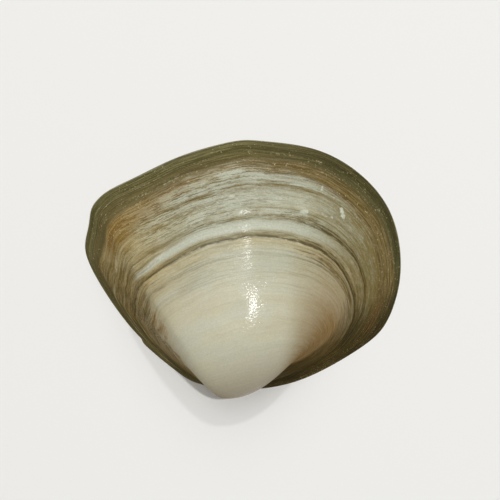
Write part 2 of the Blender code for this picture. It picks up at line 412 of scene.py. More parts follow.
@dataclass(frozen=True)
class Relief:
    """The growth relief on the outer wall: checks, and low ripples that wander and slant.

    Each step of a slant is a place along the edge and how far the lines' stage is off there. Each
    wave of the wander is a height, a length in millimetres per radian, and a phase. Names with
    turns are in radians per stage.
    """

    checks: tuple[Check, ...] = (
        Check(0.690, 0.17, 0.010, 0.045),
        Check(0.683, 0.10, 0.008, 0.020, 16.0, 9.0),
        Check(0.738, 0.09, 0.010, 0.030),
        Check(0.838, 0.05, 0.007, 0.020),
        Check(0.820, 0.03, 0.006, 0.015, -6.0, 9.0),
        Check(0.868, 0.03, 0.006, 0.020),
        Check(0.905, 0.04, 0.006, 0.020),
        Check(0.928, 0.04, 0.006, 0.020),
        Check(0.958, 0.03, 0.005, 0.015),
        Check(0.655, 0.03, 0.008, 0.020, 14.0, 12.0),
        Check(0.632, 0.02, 0.008, 0.020, 14.0, 12.0),
        Check(0.590, 0.015, 0.012, 0.030, -18.0, 5.0),
    )
    bends: tuple[Bend, ...] = (
        Bend(0.680, 0.030, 15.0, 3.6, 0.013),
        Bend(0.756, 0.040, 14.0, 8.0, -0.012),
        Bend(0.720, 0.060, -16.3, 1.6, -0.014),
        Bend(0.705, 0.050, -13.4, 2.4, 0.012),
        Bend(0.755, 0.035, 4.5, 4.0, -0.007),
        Bend(0.845, 0.040, 7.0, 5.0, -0.010),
        Bend(0.840, 0.030, -6.0, 3.0, 0.010),
    )
    rear_slant: Rows = (
        (-25, -0.16), (-22, -0.14), (-20, -0.08), (-18.5, -0.04), (-17, -0.01), (-15, 0),
    )
    front_slant: Rows = ((20.0, 0.0), (22.0, 0.03), (24.0, 0.065), (28.0, 0.1))
    slant_from: float = 0.35
    slant_rise: float = 0.45
    slant_ends: Pair = (0.10, 0.25)
    waves: Rows = ((1.0, 2.9, 1.3), (0.7, 1.31, 0.4), (0.4, 0.57, 0.0))
    drift_turns: float = 6.0
    drift_mm: float = 5.0
    sway_turns: float = 9.0
    sway_mm: float = 4.3
    wobble: float = 0.0035
    ripple_mm: float = 0.012
    ripple_turns: Pair = (150.0, 263.0)
    ripple_bend_mm: float = 3.7
    ripple_from: float = 0.5
    ripple_rise: float = 0.2
    edge_fade: float = 0.02
    beak_fade: Pair = (0.25, 0.45)

    def wandering(self, stage: Array, place: Array) -> Array:
        """The stage with a slow wander along the edge, so that no line is perfectly even.

        Args:
            stage: The growth stage of each point.
            place: Its place along the edge.

        Returns:
            The wandering stage.
        """
        wave = sum(high * np.sin(place / long + phase) for high, long, phase in self.waves)
        drift = np.sin(self.drift_turns * stage + place / self.drift_mm)
        sway = np.sin(place / self.sway_mm + self.sway_turns * stage)
        bent = stage + self.wobble * (0.5 * wave * drift + 0.3 * sway)
        for bend in self.bends:
            near = hump(stage - bend.stage, bend.half) * hump(place - bend.place_mm, bend.reach_mm)
            bent = bent + bend.shift * near
        return bent

    def slanted(self, stage: Array, place: Array) -> Array:
        """The wandering stage with the lines' slant across both flanks, which ends at the edge.

        Args:
            stage: The growth stage of each point.
            place: Its place along the edge.

        Returns:
            The slanted stage.
        """
        slant = np.zeros_like(stage)
        for course, end in zip((self.rear_slant, self.front_slant), self.slant_ends):
            slant += np.interp(place, *np.array(course).T) * smooth_step((1.0 - stage) / end)
        rise = smooth_step((stage - self.slant_from) / self.slant_rise)
        return self.wandering(stage, place) + slant * rise

    def height(self, stage: Array, place: Array) -> Array:
        """The relief above the smooth wall, in metres.

        Two sets of ripples of different lengths strengthen and weaken each other by turns.

        Args:
            stage: The even growth stage of each point.
            place: Its place along the edge.

        Returns:
            The height of the relief, 0 at the very edge and near the beak.
        """
        stage = self.slanted(stage, place)
        total = np.zeros_like(stage)
        for check in self.checks:
            past = stage - check.stage
            drop = smooth_step(past / check.width)
            drop *= np.exp(-np.maximum(past, 0.0) / check.recovery)
            total -= check.depth_mm * drop * plateau(place - check.place_mm, check.reach_mm)
        bend = 0.8 * np.sin(place / self.ripple_bend_mm)
        ripple = np.sin(stage * self.ripple_turns[0] + bend)
        ripple += 0.7 * np.sin(stage * self.ripple_turns[1] + 1.0)
        rise = smooth_step((stage - self.ripple_from) / self.ripple_rise)
        total += self.ripple_mm * ripple * rise
        fade = smooth_step((1.0 - stage) / self.edge_fade) * passed(stage, *self.beak_fade)
        return total * fade * MM


@dataclass(frozen=True)
class LigamentBand:
    """What is left of the ligament: a soft low band along the edge behind the beak.

    Each end is a share of the band's length and the share that it takes to rise or fall.
    """

    start_mm: Pair = (-8.35, -5.75)
    end_mm: Pair = (-4.3, -9.1)
    rear_end: Pair = (-0.02, 0.10)
    beak_end: Pair = (1.25, 0.45)
    reach: float = 1.2 * MM
    out: float = 0.15 * MM
    lift: float = 0.20 * MM
    depth: float = 0.06

    def share(self, edge: Array) -> Array:
        """1 along the band, with a sharp end behind and a long fade towards the beak.

        Args:
            edge: The finished edge in plan.

        Returns:
            The share at each point.
        """
        along, gap = to_line(edge, self.start_mm, self.end_mm)
        rise = smooth_step((along - self.rear_end[0]) / self.rear_end[1])
        fall = smooth_step((self.beak_end[0] - along) / self.beak_end[1])
        return rise * fall * hump(gap, self.reach)

    def apply(self, surface: Array, edge: Array, size: Array) -> Array:
        """Move the wall's outermost lines out and up along the band.

        Args:
            surface: The outer wall.
            edge: The finished edge in plan.
            size: The sizes of the growth lines.

        Returns:
            The wall with the band.
        """
        share = self.share(edge)
        inward = (1.0 - size)[:, None] / self.depth
        moved = surface.copy()
        moved[..., :2] += (self.out * share * hump(inward, 1.0))[..., None] * outward(edge)
        moved[..., 2] += self.lift * share * inward * np.exp(1.0 - inward)
        return moved


def grid_normals(surface: Array) -> Array:
    """Unit normals of a grid of rings, from the steps along and across them.

    Args:
        surface: The rings of points.

    Returns:
        A normal for each point.
    """
    around = np.roll(surface, -1, axis=1) - np.roll(surface, 1, axis=1)
    inward = np.gradient(surface, axis=0)
    normals = np.cross(around, inward)
    return normals / np.maximum(np.linalg.norm(normals, axis=2), 1e-12)[..., None]


# The form of the inner wall


@dataclass(frozen=True)
class LowestSheet:
    """The height at which a line going up first meets the outer wall, on an even grid in plan."""

    heights: Array
    origin: Array
    cell: float

    @staticmethod
    def of(
        surface: Array,
        cell: float = 0.07 * MM,
        finer: tuple[int, int] = (5, 4),
        rounds: int = 3,
        enough: int = 5,
    ) -> "LowestSheet":
        """Lay the wall's points, made finer by even steps, into the grid and keep the lowest.

        Args:
            surface: The outer wall as rings of points.
            cell: The grid's step.
            finer: How many times finer the points are laid across and along the rings.
            rounds: How many times missed cells are looked for.
            enough: How many of a missed cell's eight neighbours have to be there.

        Returns:
            The grid of heights, 0 where there is no wall. A cell missed between others is filled.
        """
        rows = np.linspace(0.0, len(surface) - 1.0, (len(surface) - 1) * finer[0] + 1)
        low = np.minimum(rows.astype(int), len(surface) - 2)
        part = (rows - low)[:, None, None]
        wall = surface[low] * (1.0 - part) + surface[low + 1] * part
        after = np.roll(wall, -1, axis=1)
        steps = np.arange(finer[1]) / finer[1]
        points = np.concatenate([wall * (1.0 - step) + after * step for step in steps])
        points = points.reshape(-1, 3)
        origin = points[:, :2].min(axis=0) - 2.0 * cell
        index = np.rint((points[:, :2] - origin) / cell).astype(int)
        shape = index.max(axis=0) + 3
        heights = np.full(shape, np.inf)
        np.minimum.at(heights, (index[:, 0], index[:, 1]), points[:, 2])
        shifts = [(i, j) for i in (-1, 0, 1) for j in (-1, 0, 1) if (i, j) != (0, 0)]
        for _ in range(rounds):
            round_about = np.stack([np.roll(heights, shift, axis=(0, 1)) for shift in shifts])
            missed = ~np.isfinite(heights) & (np.isfinite(round_about).sum(axis=0) >= enough)
            heights[missed] = round_about.min(axis=0)[missed]
        heights[~np.isfinite(heights)] = 0.0
        return LowestSheet(heights, origin, cell)

    def at(self, plan: Array) -> Array:
        """The height at places in plan, straight between the grid's points.

        Args:
            plan: The places.

        Returns:
            The height of the wall there.
        """
        place = (plan - self.origin) / self.cell
        just_inside = np.array(self.heights.shape) - 1.001
        place = np.clip(place, 0.0, just_inside)
        low = place.astype(int)
        x, y = np.moveaxis(place - low, -1, 0)
        i, j = np.moveaxis(low, -1, 0)
        near = self.heights[i, j] * (1.0 - y) + self.heights[i, j + 1] * y
        far = self.heights[i + 1, j] * (1.0 - y) + self.heights[i + 1, j + 1] * y
        return near * (1.0 - x) + far * x


@dataclass(frozen=True)
class Tooth:
    """A hinge tooth: a short rounded ridge on the hinge plate, between two points in plan."""

    start_mm: Pair
    end_mm: Pair
    width_mm: float
    height: float


@dataclass(frozen=True)
class HingePlate:
    """The flat rim, which widens into the hinge plate, with its recess and cardinal teeth."""

    rim_width: float = 0.22 * MM
    plate_width: float = 1.5 * MM
    plate_fade: float = 5.0 * MM
    strip: float = 0.42 * MM
    recess: float = 0.34 * MM
    recess_fade: float = 0.25 * MM
    rows: int = 9
    teeth: tuple[Tooth, ...] = (
        Tooth((-0.10, -9.30), (0.45, -8.55), 0.20, 0.95),
        Tooth((0.35, -9.35), (1.00, -8.70), 0.17, 0.85),
        Tooth((-1.30, -9.15), (-1.75, -8.50), 0.15, 0.75),
        Tooth((-2.20, -9.10), (-4.60, -8.05), 0.16, 0.60),
    )

    def surface(self, edge: Array, spiral: GrowthSpiral) -> Array:
        """Rings of points from the edge over the rim or the plate to the inner wall's foot.

        Args:
            edge: The finished edge in plan.
            spiral: The growth of the valve, which says where the hinge is.

        Returns:
            The rings, from the edge inwards.
        """
        share = spiral.hinge_share(edge, self.plate_fade)
        width = self.rim_width + (self.plate_width - self.rim_width) * share
        across = np.linspace(0.0, 1.0, self.rows + 1)[1:, None] * width[None, :]
        plan = edge - across[..., None] * outward(edge)
        depth = self.recess * share * smooth_step((across - self.strip) / self.recess_fade)
        crest = np.zeros_like(depth)
        for tooth in self.teeth:
            _, gap = to_line(plan, tooth.start_mm, tooth.end_mm)
            crest = np.maximum(crest, tooth.height * hump(gap, tooth.width_mm * MM))
        return np.concatenate([plan, (depth * (1.0 - crest))[..., None]], axis=2)


@dataclass(frozen=True)
class Hollow:
    """The inner wall, one wall thickness inside the outer one."""

    edge_thickness: float = 0.16 * MM
    wall_thickness: float = 0.62 * MM
    thinnest: float = 0.30 * MM
    thickening_length: float = 2.0 * MM
    middle: Pair = (0.2 * MM, -1.0 * MM)
    ball_rings: tuple[float, ...] = (0.35, 0.65, 0.85, 1.0)
    ball_spokes: int = 16
    rows: int = 50
    crowding: float = 1.5
    foot: float = 0.25 * MM
    rim_step: float = 0.05 * MM
    foot_softness: float = 0.1 * MM
    smoothing: int = 40
    evening: float = 0.50 * MM
    evening_from: float = 0.9 * MM
    rounding: float = 0.35

    @staticmethod
    def evened(rings: Array, blur: Array) -> Array:
        """Rings without their short waves.

        Each ring is taken apart into waves, and a wave that goes round k times is kept by
        exp(-(k * blur)^2 / 2).

        Args:
            rings: The rings, one row each, with any number of values at each point.
            blur: The angle, in radians, over which each ring is evened.

        Returns:
            The evened rings.
        """
        waves = np.fft.rfft(rings, axis=1)
        turns = np.arange(waves.shape[1])[None, :, None]
        kept = np.exp(-0.5 * (turns * blur[:, None, None]) ** 2)
        return np.fft.irfft(waves * kept, n=rings.shape[1], axis=1)

    def surface(self, rim: Array, edge: Array, sheet: LowestSheet) -> tuple[Array, Array]:
        """The inner wall, as the lowest height that a ball of the wall's thickness allows.

        The ball rolls inside the outer wall: its lowest centre over the places round about is
        where the wall is as thick as it should be, measured square to the surface.

        Args:
            rim: The inner ring of the rim and hinge plate, in three dimensions.
            edge: The finished edge in plan.
            sheet: The lowest sheet of the outer wall.

        Returns:
            The rings of points, and the point in the middle of the hollow.
        """
        middle = np.array(self.middle)
        share = 1.0 - np.linspace(0.0, 1.0, self.rows + 1)[1:-1] ** self.crowding
        outline = np.tile(rim[None, :, :2] - middle, (len(share), 1, 1))
        plan = middle + share[:, None, None] * self.evened(outline, self.rounding * (1.0 - share))
        from_edge = np.linalg.norm(plan - edge[None], axis=2)
        grown = 1.0 - np.exp(-from_edge / self.thickening_length)
        thick = self.edge_thickness + (self.wall_thickness - self.edge_thickness) * grown
        under = sheet.at(plan) - thick
        for reach in self.ball_rings:
            for angle in np.linspace(0.0, 2.0 * math.pi, self.ball_spokes, endpoint=False):
                offset = reach * np.array([math.cos(angle), math.sin(angle)])
                there = sheet.at(plan + thick[..., None] * offset)
                under = np.minimum(under, there - thick * math.sqrt(1.0 - reach * reach))
        from_rim = np.linalg.norm(plan - rim[None, :, :2], axis=2)
        rise = smooth_step(from_rim / self.foot)
        softened = 0.5 * (under + np.hypot(under, self.foot_softness))
        floor = rim[None, :, 2] * (1.0 - rise)
        height = floor + rise * np.maximum(self.rim_step + softened, rim[None, :, 2])
        ceiling = sheet.at(plan) - np.minimum(self.thinnest, thick)
        ceiling = np.maximum(np.maximum(ceiling, rise * self.rim_step), floor)
        for _ in range(self.smoothing):
            rows = np.concatenate([rim[None, :, 2], height, height[-1:]])
            # Each pass weighs a point twice as much as its neighbours.
            around = 0.25 * (np.roll(rows, 1, axis=1) + 2.0 * rows + np.roll(rows, -1, axis=1))
            height = 0.25 * (around[:-2] + 2.0 * around[1:-1] + around[2:])
            height = np.minimum(height, ceiling)
        radius = np.linalg.norm(plan - middle, axis=2).mean(axis=1)
        evenly = smooth_step(from_rim / self.evening_from)
        even = self.evened(height[..., None], self.evening / radius)[..., 0]
        height = np.minimum(height + evenly * (even - height), ceiling)
        top = np.array([*middle, float(height[-1].mean())])
        return np.concatenate([plan, height[..., None]], axis=2), top


# Markings


class Film(Enum):
    """What lies on the wall or is missing from it, painted shade and sheen among them.

    The value is its attribute and its axis.
    """

    OLIVE = ("skin", 0)
    OCHRE = ("skin", 1)
    BROWN = ("skin", 2)
    DARK = ("wear", 0)
    WHITE = ("wear", 1)
    FLAKED = ("wear", 2)
    CHIP = ("mark", 0)
    RUST = ("mark", 1)
    SPOT = ("mark", 2)
    TAN = ("age", 0)
    SKIRT = ("age", 1)
    STAIN = ("age", 2)


@dataclass(frozen=True)
class Patches:
    """Patches of one film.

    Each row is a patch's middle stage and half width, its middle place and half length in
    millimetres, and its strength.
    """

    film: Film
    rows: Rows

    def share(self, stage: Array, place: Array) -> Array:
        """How much of the film lies at each point.

        Args:
            stage: The growth stage of each point.
            place: Its place along the edge.

        Returns:
            The share, 0 to 1.
        """
        total = np.zeros_like(stage)
        for middle, half, place_mm, reach_mm, strength in self.rows:
            near = plateau(stage - middle, half) * plateau(place - place_mm, reach_mm)
            total = np.maximum(total, strength * near)
        return total


@dataclass(frozen=True)
class Band:
    """A band of one film along the growth lines.

    Each step of its course is a place along the edge, the stages between which the band lies
    there, and its strength there.
    """

    film: Film
    soft: float
    course: Rows

    def share(self, stage: Array, place: Array) -> Array:
        """How much of the film lies at each point.

        Args:
            stage: The growth stage of each point.
            place: Its place along the edge.

        Returns:
            The share, 0 to 1.
        """
        at, inner, outer, strength = np.array(self.course).T
        rise = (stage - np.interp(place, at, inner)) / self.soft + 0.5
        fall = (np.interp(place, at, outer) - stage) / self.soft + 0.5
        return np.interp(place, at, strength) * smooth_step(rise) * smooth_step(fall)


@dataclass(frozen=True)
class Markings:
    """All films on the outer wall, painted shade and sheen among them, and the three sectors
    whose tones differ.
    """

    bands: tuple[Band, ...] = (
        Band(Film.OLIVE, 0.05, (
            (-36, 0.8, 1.1, 0.7), (-27, 0.8, 1.1, 0.9), (-22, 0.9, 1.1, 1), (-18.5, 0.92, 1.1, 1),
            (-15.5, 0.895, 1.1, 1), (-12, 0.905, 1.1, 1), (-9, 0.918, 1.1, 1), (-6, 0.92, 1.1, 1),
            (-1, 0.924, 1.1, 1), (5, 0.94, 1.1, 1), (12, 0.95, 1.1, 1), (17, 0.955, 1.1, 1),
            (20, 0.965, 1.1, 0.9), (24, 0.93, 1.1, 0.6), (36, 0.9, 1.1, 0.6),
        )),
        Band(Film.OLIVE, 0.04, (
            (2, 0.928, 1.1, 0), (6, 0.918, 1.1, 0.52), (12, 0.92, 1.1, 0.54),
            (16, 0.925, 1.1, 0.48), (19, 0.93, 1.1, 0),
        )),
        Band(Film.OCHRE, 0.1, (
            (-20, 0.86, 0.93, 0), (-17.5, 0.85, 0.93, 0.35), (-15.5, 0.81, 0.93, 0.75),
            (-14, 0.79, 0.935, 0.9), (-12, 0.812, 0.94, 0.7), (-9, 0.845, 0.945, 0.62),
            (-5, 0.865, 0.95, 0.55), (0, 0.88, 0.95, 0.6), (4, 0.89, 0.96, 0.5),
            (8, 0.9, 0.96, 0.2), (10, 0.9, 0.96, 0),
        )),
        Band(Film.BROWN, 0.09, (
            (-3, 0.88, 0.95, 0), (0, 0.875, 0.97, 0.55), (4, 0.875, 0.975, 0.8),
            (8, 0.868, 0.98, 0.95), (12, 0.862, 0.985, 1), (16, 0.845, 0.995, 0.95),
            (20, 0.79, 1, 0.85), (24, 0.7, 1.1, 0.65), (36, 0.66, 1.1, 0.6),
        )),
        Band(Film.BROWN, 0.06, (
            (-36, 0.6, 0.98, 0.6), (-30, 0.56, 0.98, 0.6), (-24, 0.56, 0.96, 0.6),
            (-20, 0.58, 0.94, 0.57), (-17.5, 0.6, 0.93, 0.57), (-16, 0.62, 0.8, 0.5),
            (-13, 0.66, 0.76, 0.25), (-10, 0.69, 0.74, 0),
        )),
        Band(Film.DARK, 0.03, (
            (-30, 0.7, 0.7, 0), (-22, 0.66, 0.74, 0.12), (-18, 0.66, 0.74, 0.18),
            (-15.5, 0.68, 0.73, 0.15), (-13, 0.69, 0.7, 0),
        )),
        # The dark film on the front slope and in its groove: partly dirt, partly painted shade.
        Band(Film.DARK, 0.12, (
            (11, 0.64, 0.72, 0), (14, 0.6, 0.73, 0.2), (17, 0.57, 0.75, 0.42),
            (19.5, 0.53, 0.76, 0.6), (22, 0.46, 0.77, 0.8), (25, 0.42, 0.76, 0.88),
            (30, 0.38, 0.74, 0.92), (36, 0.35, 0.7, 0.8),
        )),
        # Tan on both flanks: partly the shell's own tan, partly painted shade that darkens the
        # flanks.
        Band(Film.TAN, 0.3, (
            (-36, 0.15, 1.3, 0.95), (-28, 0.15, 1.3, 0.9), (-22, 0.2, 1.3, 0.7),
            (-18, 0.35, 1.3, 0.52), (-14, 0.5, 1.3, 0.3), (-8, 0.5, 1.3, 0.05), (-2, 0.6, 1.3, 0),
            (4, 0.55, 1.3, 0.14), (9, 0.34, 1.3, 0.58), (14, 0.14, 1.3, 0.86),
            (18, 0.15, 1.3, 0.94), (24, 0.1, 1.3, 0.9), (36, 0.1, 1.3, 0.9),
        )),
        Band(Film.STAIN, 0.12, (
            (5, 0.3, 0.56, 0), (8, 0.3, 0.57, 0.18), (11, 0.28, 0.58, 0.38),
            (14, 0.26, 0.58, 0.66), (17, 0.26, 0.59, 0.86), (22, 0.28, 0.64, 0.95),
            (28, 0.35, 0.64, 0.9), (34, 0.4, 0.6, 0),
        )),
        Band(Film.SKIRT, 0.03, (
            (-3, 0.96, 1.1, 0), (1, 0.945, 1.1, 0.38), (6, 0.945, 1.1, 0.4), (12, 0.96, 1.1, 0.38),
            (17, 0.97, 1.1, 0.35), (20, 0.97, 1.1, 0),
        )),
        Band(Film.SKIRT, 0.05, (
            (17, 0.68, 1.1, 0), (21, 0.66, 1.1, 0.6), (26, 0.65, 1.1, 1), (36, 0.6, 1.1, 1),
        )),
        Band(Film.WHITE, 0.014, (
            (-16, 0.706, 0.72, 0), (-14.6, 0.706, 0.722, 0.75), (-9, 0.706, 0.727, 0.9),
            (-2, 0.706, 0.729, 0.92), (4, 0.706, 0.731, 0.72), (9, 0.705, 0.729, 0.35),
            (14, 0.704, 0.727, 0.05), (18, 0.702, 0.718, 0),
        )),
        Band(Film.WHITE, 0.012, (
            (-2, 0.862, 0.878, 0), (1, 0.857, 0.883, 0.55), (6, 0.858, 0.886, 0.75),
            (9.5, 0.866, 0.884, 0.5), (11.5, 0.874, 0.88, 0),
        )),
        Band(Film.WHITE, 0.02, (
            (-10, 0.78, 0.815, 0), (-5, 0.772, 0.82, 0.3), (0, 0.77, 0.832, 0.42),
            (5, 0.772, 0.835, 0.38), (9, 0.775, 0.835, 0.14), (12, 0.78, 0.83, 0),
        )),
        Band(Film.FLAKED, 0.012, (
            (-10, 0.737, 0.76, 0), (-6, 0.736, 0.762, 0.6), (6, 0.736, 0.762, 0.7),
            (10, 0.736, 0.76, 0),
        )),
        Band(Film.FLAKED, 0.04, (
            (-15, 0.78, 0.9, 0), (-12, 0.77, 0.905, 0.8), (-4, 0.76, 0.925, 1),
            (1, 0.77, 0.925, 0.8), (4, 0.78, 0.925, 0.4), (8, 0.79, 0.9, 0.15),
            (14, 0.78, 0.85, 0.1), (18, 0.78, 0.85, 0),
        )),
    )
    patches: tuple[Patches, ...] = (
        Patches(Film.OCHRE, ((0.868, 0.034, -14.1, 2.2, 0.85),)),
        Patches(Film.STAIN, (
            (0.58, 0.05, -17.2, 1.7, 0.52), (0.53, 0.07, -20, 2.4, 0.56),
            (0.48, 0.1, -24, 3, 0.55), (0.4, 0.15, -29, 4, 0.5),
        )),
        Patches(Film.CHIP, (
            (0.776, 0.007, 5.85, 0.33, 0.9), (0.771, 0.006, 5.55, 0.3, 0.9),
            (0.788, 0.003, 8, 0.6, 0.4), (0.795, 0.003, 8.8, 0.22, 0.5),
            (0.836, 0.006, 9.45, 0.2, 0.75), (0.829, 0.007, 9.65, 0.24, 0.85),
            (0.822, 0.008, 9.88, 0.24, 0.85), (0.925, 0.0025, -7.5, 2.4, 0.22),
            (0.868, 0.013, 7, 0.11, 0.6), (0.858, 0.003, 8.6, 0.8, 0.28),
            (0.62, 0.003, 2, 0.6, 0.3), (0.89, 0.006, -1.8, 1.6, 0.65),
            (0.812, 0.006, -1.9, 0.5, 0.5), (0.822, 0.011, -16.4, 0.9, 0.36),
            (0.538, 0.007, -16.6, 0.6, 0.36), (0.425, 0.012, 6.6, 1, 0.25),
        )),
        # The first white patch, across the middle of the dome, is a painted sheen in silvery
        # streaks; the others are pale patches of the wall.
        Patches(Film.WHITE, (
            (0.63, 0.05, 1, 5, 0.42), (0.604, 0.018, -12.8, 2.4, 0.42),
            (0.677, 0.004, 15, 3.2, 0.38),
        )),
        Patches(Film.RUST, ((0.86, 0.06, 21.5, 2.4, 0.35),)),
        Patches(Film.SPOT, ((0.78, 0.008, 26.4, 0.35, 0.9),)),
        Patches(Film.BROWN, (
            (0.66, 0.02, 12.5, 6, 0.5), (0.744, 0.012, 13.5, 7, 0.5),
            (0.84, 0.006, -9.5, 2.8, 0.58), (0.837, 0.011, -5.5, 2.6, 0.58),
            (0.842, 0.005, -1.5, 2, 0.62), (0.837, 0.003, 4, 4, 0.6), (0.845, 0.003, 3.5, 3, 0.55),
            (0.855, 0.003, 2.5, 2.5, 0.5), (0.905, 0.014, -7.5, 4.5, 0.55),
        )),
        Patches(Film.DARK, ((0.689, 0.006, 13.5, 6, 0.7),)),
    )
    sectors_mm: Rows = ((0.0, 9.0, 34.0, 8.0), (-16.0, 8.0, 12.0, 8.0), (-36.0, 6.0, -5.0, 10.0))

    def fields(self, stage: Array, place: Array) -> dict[str, Array]:
        """The strength of every film at every point, three films to an attribute.

        Args:
            stage: The growth stage of each point.
            place: Its place along the edge.

        Returns:
            The strengths by the name of the attribute.
        """
        fields = {name: np.zeros(stage.shape + (3,)) for name in ("skin", "wear", "age", "mark")}
        for layer in (*self.bands, *self.patches):
            name, axis = layer.film.value
            there = fields[name][..., axis]
            fields[name][..., axis] = np.maximum(there, layer.share(stage, place))
        return fields

    def sectors(self, place: Array) -> Array:
        """How far each point is at the front, in the middle and at the rear of the valve.

        Each sector comes in from its first place over the length that follows, and goes out
        before its second place over the length that follows that.

        Args:
            place: The place of each point along the edge.

        Returns:
            The three shares, on the last axis.
        """
        return np.stack(
            [
                smooth_step((place - start) / rise) * smooth_step((end - place) / fall)
                for start, rise, end, fall in self.sectors_mm
            ],
            axis=-1,
        )


# Finishes


class Step(Enum):
    """A step of a finish: its node, its settings, the inputs that it takes, and its output."""

    ADD = ("ShaderNodeMath", {"operation": "ADD"}, (0, 1), 0)
    SUBTRACT = ("ShaderNodeMath", {"operation": "SUBTRACT"}, (0, 1), 0)
    MULTIPLY = ("ShaderNodeMath", {"operation": "MULTIPLY"}, (0, 1), 0)
    MULTIPLY_ADD = ("ShaderNodeMath", {"operation": "MULTIPLY_ADD"}, (0, 1, 2), 0)
    DIVIDE = ("ShaderNodeMath", {"operation": "DIVIDE"}, (0, 1), 0)
    LARGER = ("ShaderNodeMath", {"operation": "MAXIMUM"}, (0, 1), 0)
    REMAP = ("ShaderNodeMapRange", {}, ("Value", "From Min", "From Max", "To Min", "To Max"), 0)
    BLEND = ("ShaderNodeMix", {"data_type": "RGBA"}, (0, 6, 7), 2)
    TINT = ("ShaderNodeMix", {"data_type": "RGBA", "blend_type": "MULTIPLY"}, (0, 6, 7), 2)
    GREY = ("ShaderNodeCombineColor", {}, (0, 1, 2), 0)
    RAMP = ("ShaderNodeValToRGB", {}, (0,), 0)
    FIELD = ("ShaderNodeAttribute", {}, (), "Vector")
    PLACE = ("ShaderNodeTexCoord", {}, (), "Object")
    PARTS = ("ShaderNodeSeparateXYZ", {}, (0,), 0)
    WHOLE = ("ShaderNodeCombineXYZ", {}, (0, 1, 2), 0)
    MOVED = ("ShaderNodeVectorMath", {}, (0, 1), 0)
    SCALED = ("ShaderNodeMapping", {}, ("Vector", "Scale"), 0)
    NOISE = ("ShaderNodeTexNoise", {}, ("Vector", "Scale", "Detail", "Roughness"), 0)
    BUMP = ("ShaderNodeBump", {}, ("Strength", "Distance", "Height"), 0)


class Finish:
    """A material as it is put together, with the colour that has been laid on so far.

    Where a number or a socket can go, so can a socket with numbers after it: the range that its
    values are taken from, and the range that they are stretched to and held in, which is 0 to 1
    where it isn't given.
    """

    noise_roughness: float = 0.6
    noise_range: Pair = (0.3, 0.7)

    def __init__(self, name: str, colour: Colour) -> None:
        """Start a material with its first colour.

        Args:
            name: The material's name.
            colour: The colour that the others are laid on.
        """
        self.material = bpy.data.materials.new(name)
        self.material.use_nodes = True
        self.tree = self.material.node_tree
        self.shader = self.tree.nodes["Principled BSDF"]
        self.colour: Value = colour

    def add(self, step: Step, *values: Value, stops: Stops = (), **settings: str) -> Socket:
        """Add a node with its settings and links.

        Args:
            step: Which node it is.
            values: What its inputs get, in the step's order.
            stops: The positions and colours of a ramp.
            settings: More properties of the node.

        Returns:
            The step's output.
        """
        kind, fixed, inputs, output = step.value
        node = self.tree.nodes.new(kind)
        for name, value in {**fixed, **settings}.items():
            setattr(node, name, value)
        for key, value in zip(inputs, values):
            self.put(node.inputs[key], value)
        if stops:
            elements = node.color_ramp.elements
            elements[0].position, elements[0].color = stops[0]
            elements[1].position, elements[1].color = stops[-1]
            for position, colour in stops[1:-1]:
                elements.new(position).color = colour
        return node.outputs[output]

    def put(self, socket: Socket, value: Value) -> None:
        """Link a socket to another one, or set its value.

        Args:
            socket: The socket.
            value: What it gets.
        """
        if isinstance(value, tuple) and isinstance(value[0], Socket):
            value = self.add(Step.REMAP, *value)
        if isinstance(value, Socket):
            self.tree.links.new(value, socket)
        else:
            socket.default_value = value

    def give(self, name: str, value: Value) -> None:
        """Give the shader one of its values."""
        self.put(self.shader.inputs[name], value)

    def product(self, *shares: Value) -> Value:
        """The product of shares.

        Args:
            shares: The shares.

        Returns:
            Their product, or the share itself where there is only one.
        """
        result = shares[0]
        for share in shares[1:]:
            result = self.add(Step.MULTIPLY, result, share)
        return result

    def total(self, *parts: tuple[Value, Value]) -> Socket:
        """The sum of patterns, each multiplied by the weight after it.

        Args:
            parts: Pairs of a pattern and its weight.

        Returns:
            The sum.
        """
        result = self.add(Step.MULTIPLY, *parts[0])
        for pattern, weight in parts[1:]:
            result = self.add(Step.MULTIPLY_ADD, pattern, weight, result)
        return result

    def lay(self, tone: Value, *shares: Value) -> None:
        """Lay a tone over the colour, as strongly as the product of the shares."""
        self.colour = self.add(Step.BLEND, self.product(*shares), self.colour, tone)

    def field(self, name: str) -> Sequence[Socket]:
        """The three values of one of the valve's own attributes."""
        vector = self.add(Step.FIELD, attribute_name=name)
        return self.add(Step.PARTS, vector).node.outputs

    def edged(self, share: Value, noise: Socket, rough: float, soft: float) -> Socket:
        """A share with a broken edge.

        The noise decides how early each point is covered as the share grows: the result is
        share * (1 + rough) - (1 - noise) * rough, divided by soft and held from 0 to 1.

        Args:
            share: The even share, 0 to 1.
            noise: The noise, 0 to 1.
            rough: How far the noise moves the edge.
            soft: How soft the edge is.

        Returns:
            The broken share, 0 to 1.
        """
        grown = self.add(Step.MULTIPLY, share, 1.0 + rough)
        less = self.add(Step.SUBTRACT, noise, 1.0)
        return self.add(Step.REMAP, self.add(Step.MULTIPLY_ADD, less, rough, grown), 0.0, soft)

    def grain(self, vector: Socket, along: float, across: float, detail: float) -> Socket:
        """Noise with its contrast raised so that it fills 0 to 1.

        Args:
            vector: Where each point is.
            along: The noise's scale on the first two axes.
            across: Its scale on the last axis.
            detail: How many finer noises are laid over it.

        Returns:
            The noise.
        """
        scaled = self.add(Step.SCALED, vector, (along, along, across))
        noise = self.add(Step.NOISE, scaled, 1.0, detail, self.noise_roughness)
        return self.add(Step.REMAP, noise, *self.noise_range)

    def lines(self, stage: Socket, lines: Rows) -> Socket:
        """Thin lines at fixed growth stages, each rising and falling evenly.

        Args:
            stage: The growth stage.
            lines: The stage, half width and strength of each line. They don't overlap.

        Returns:
            The lines' strength.
        """
        black = srgb("000000")
        stops = [(0.0, black)]
        for at, half, strength in sorted(lines):
            peak = (strength, strength, strength, 1.0)
            stops += [(at - half, black), (at, peak), (at + half, black)]
        return self.add(Step.RAMP, stage, stops=(*stops, (1.0, black)))


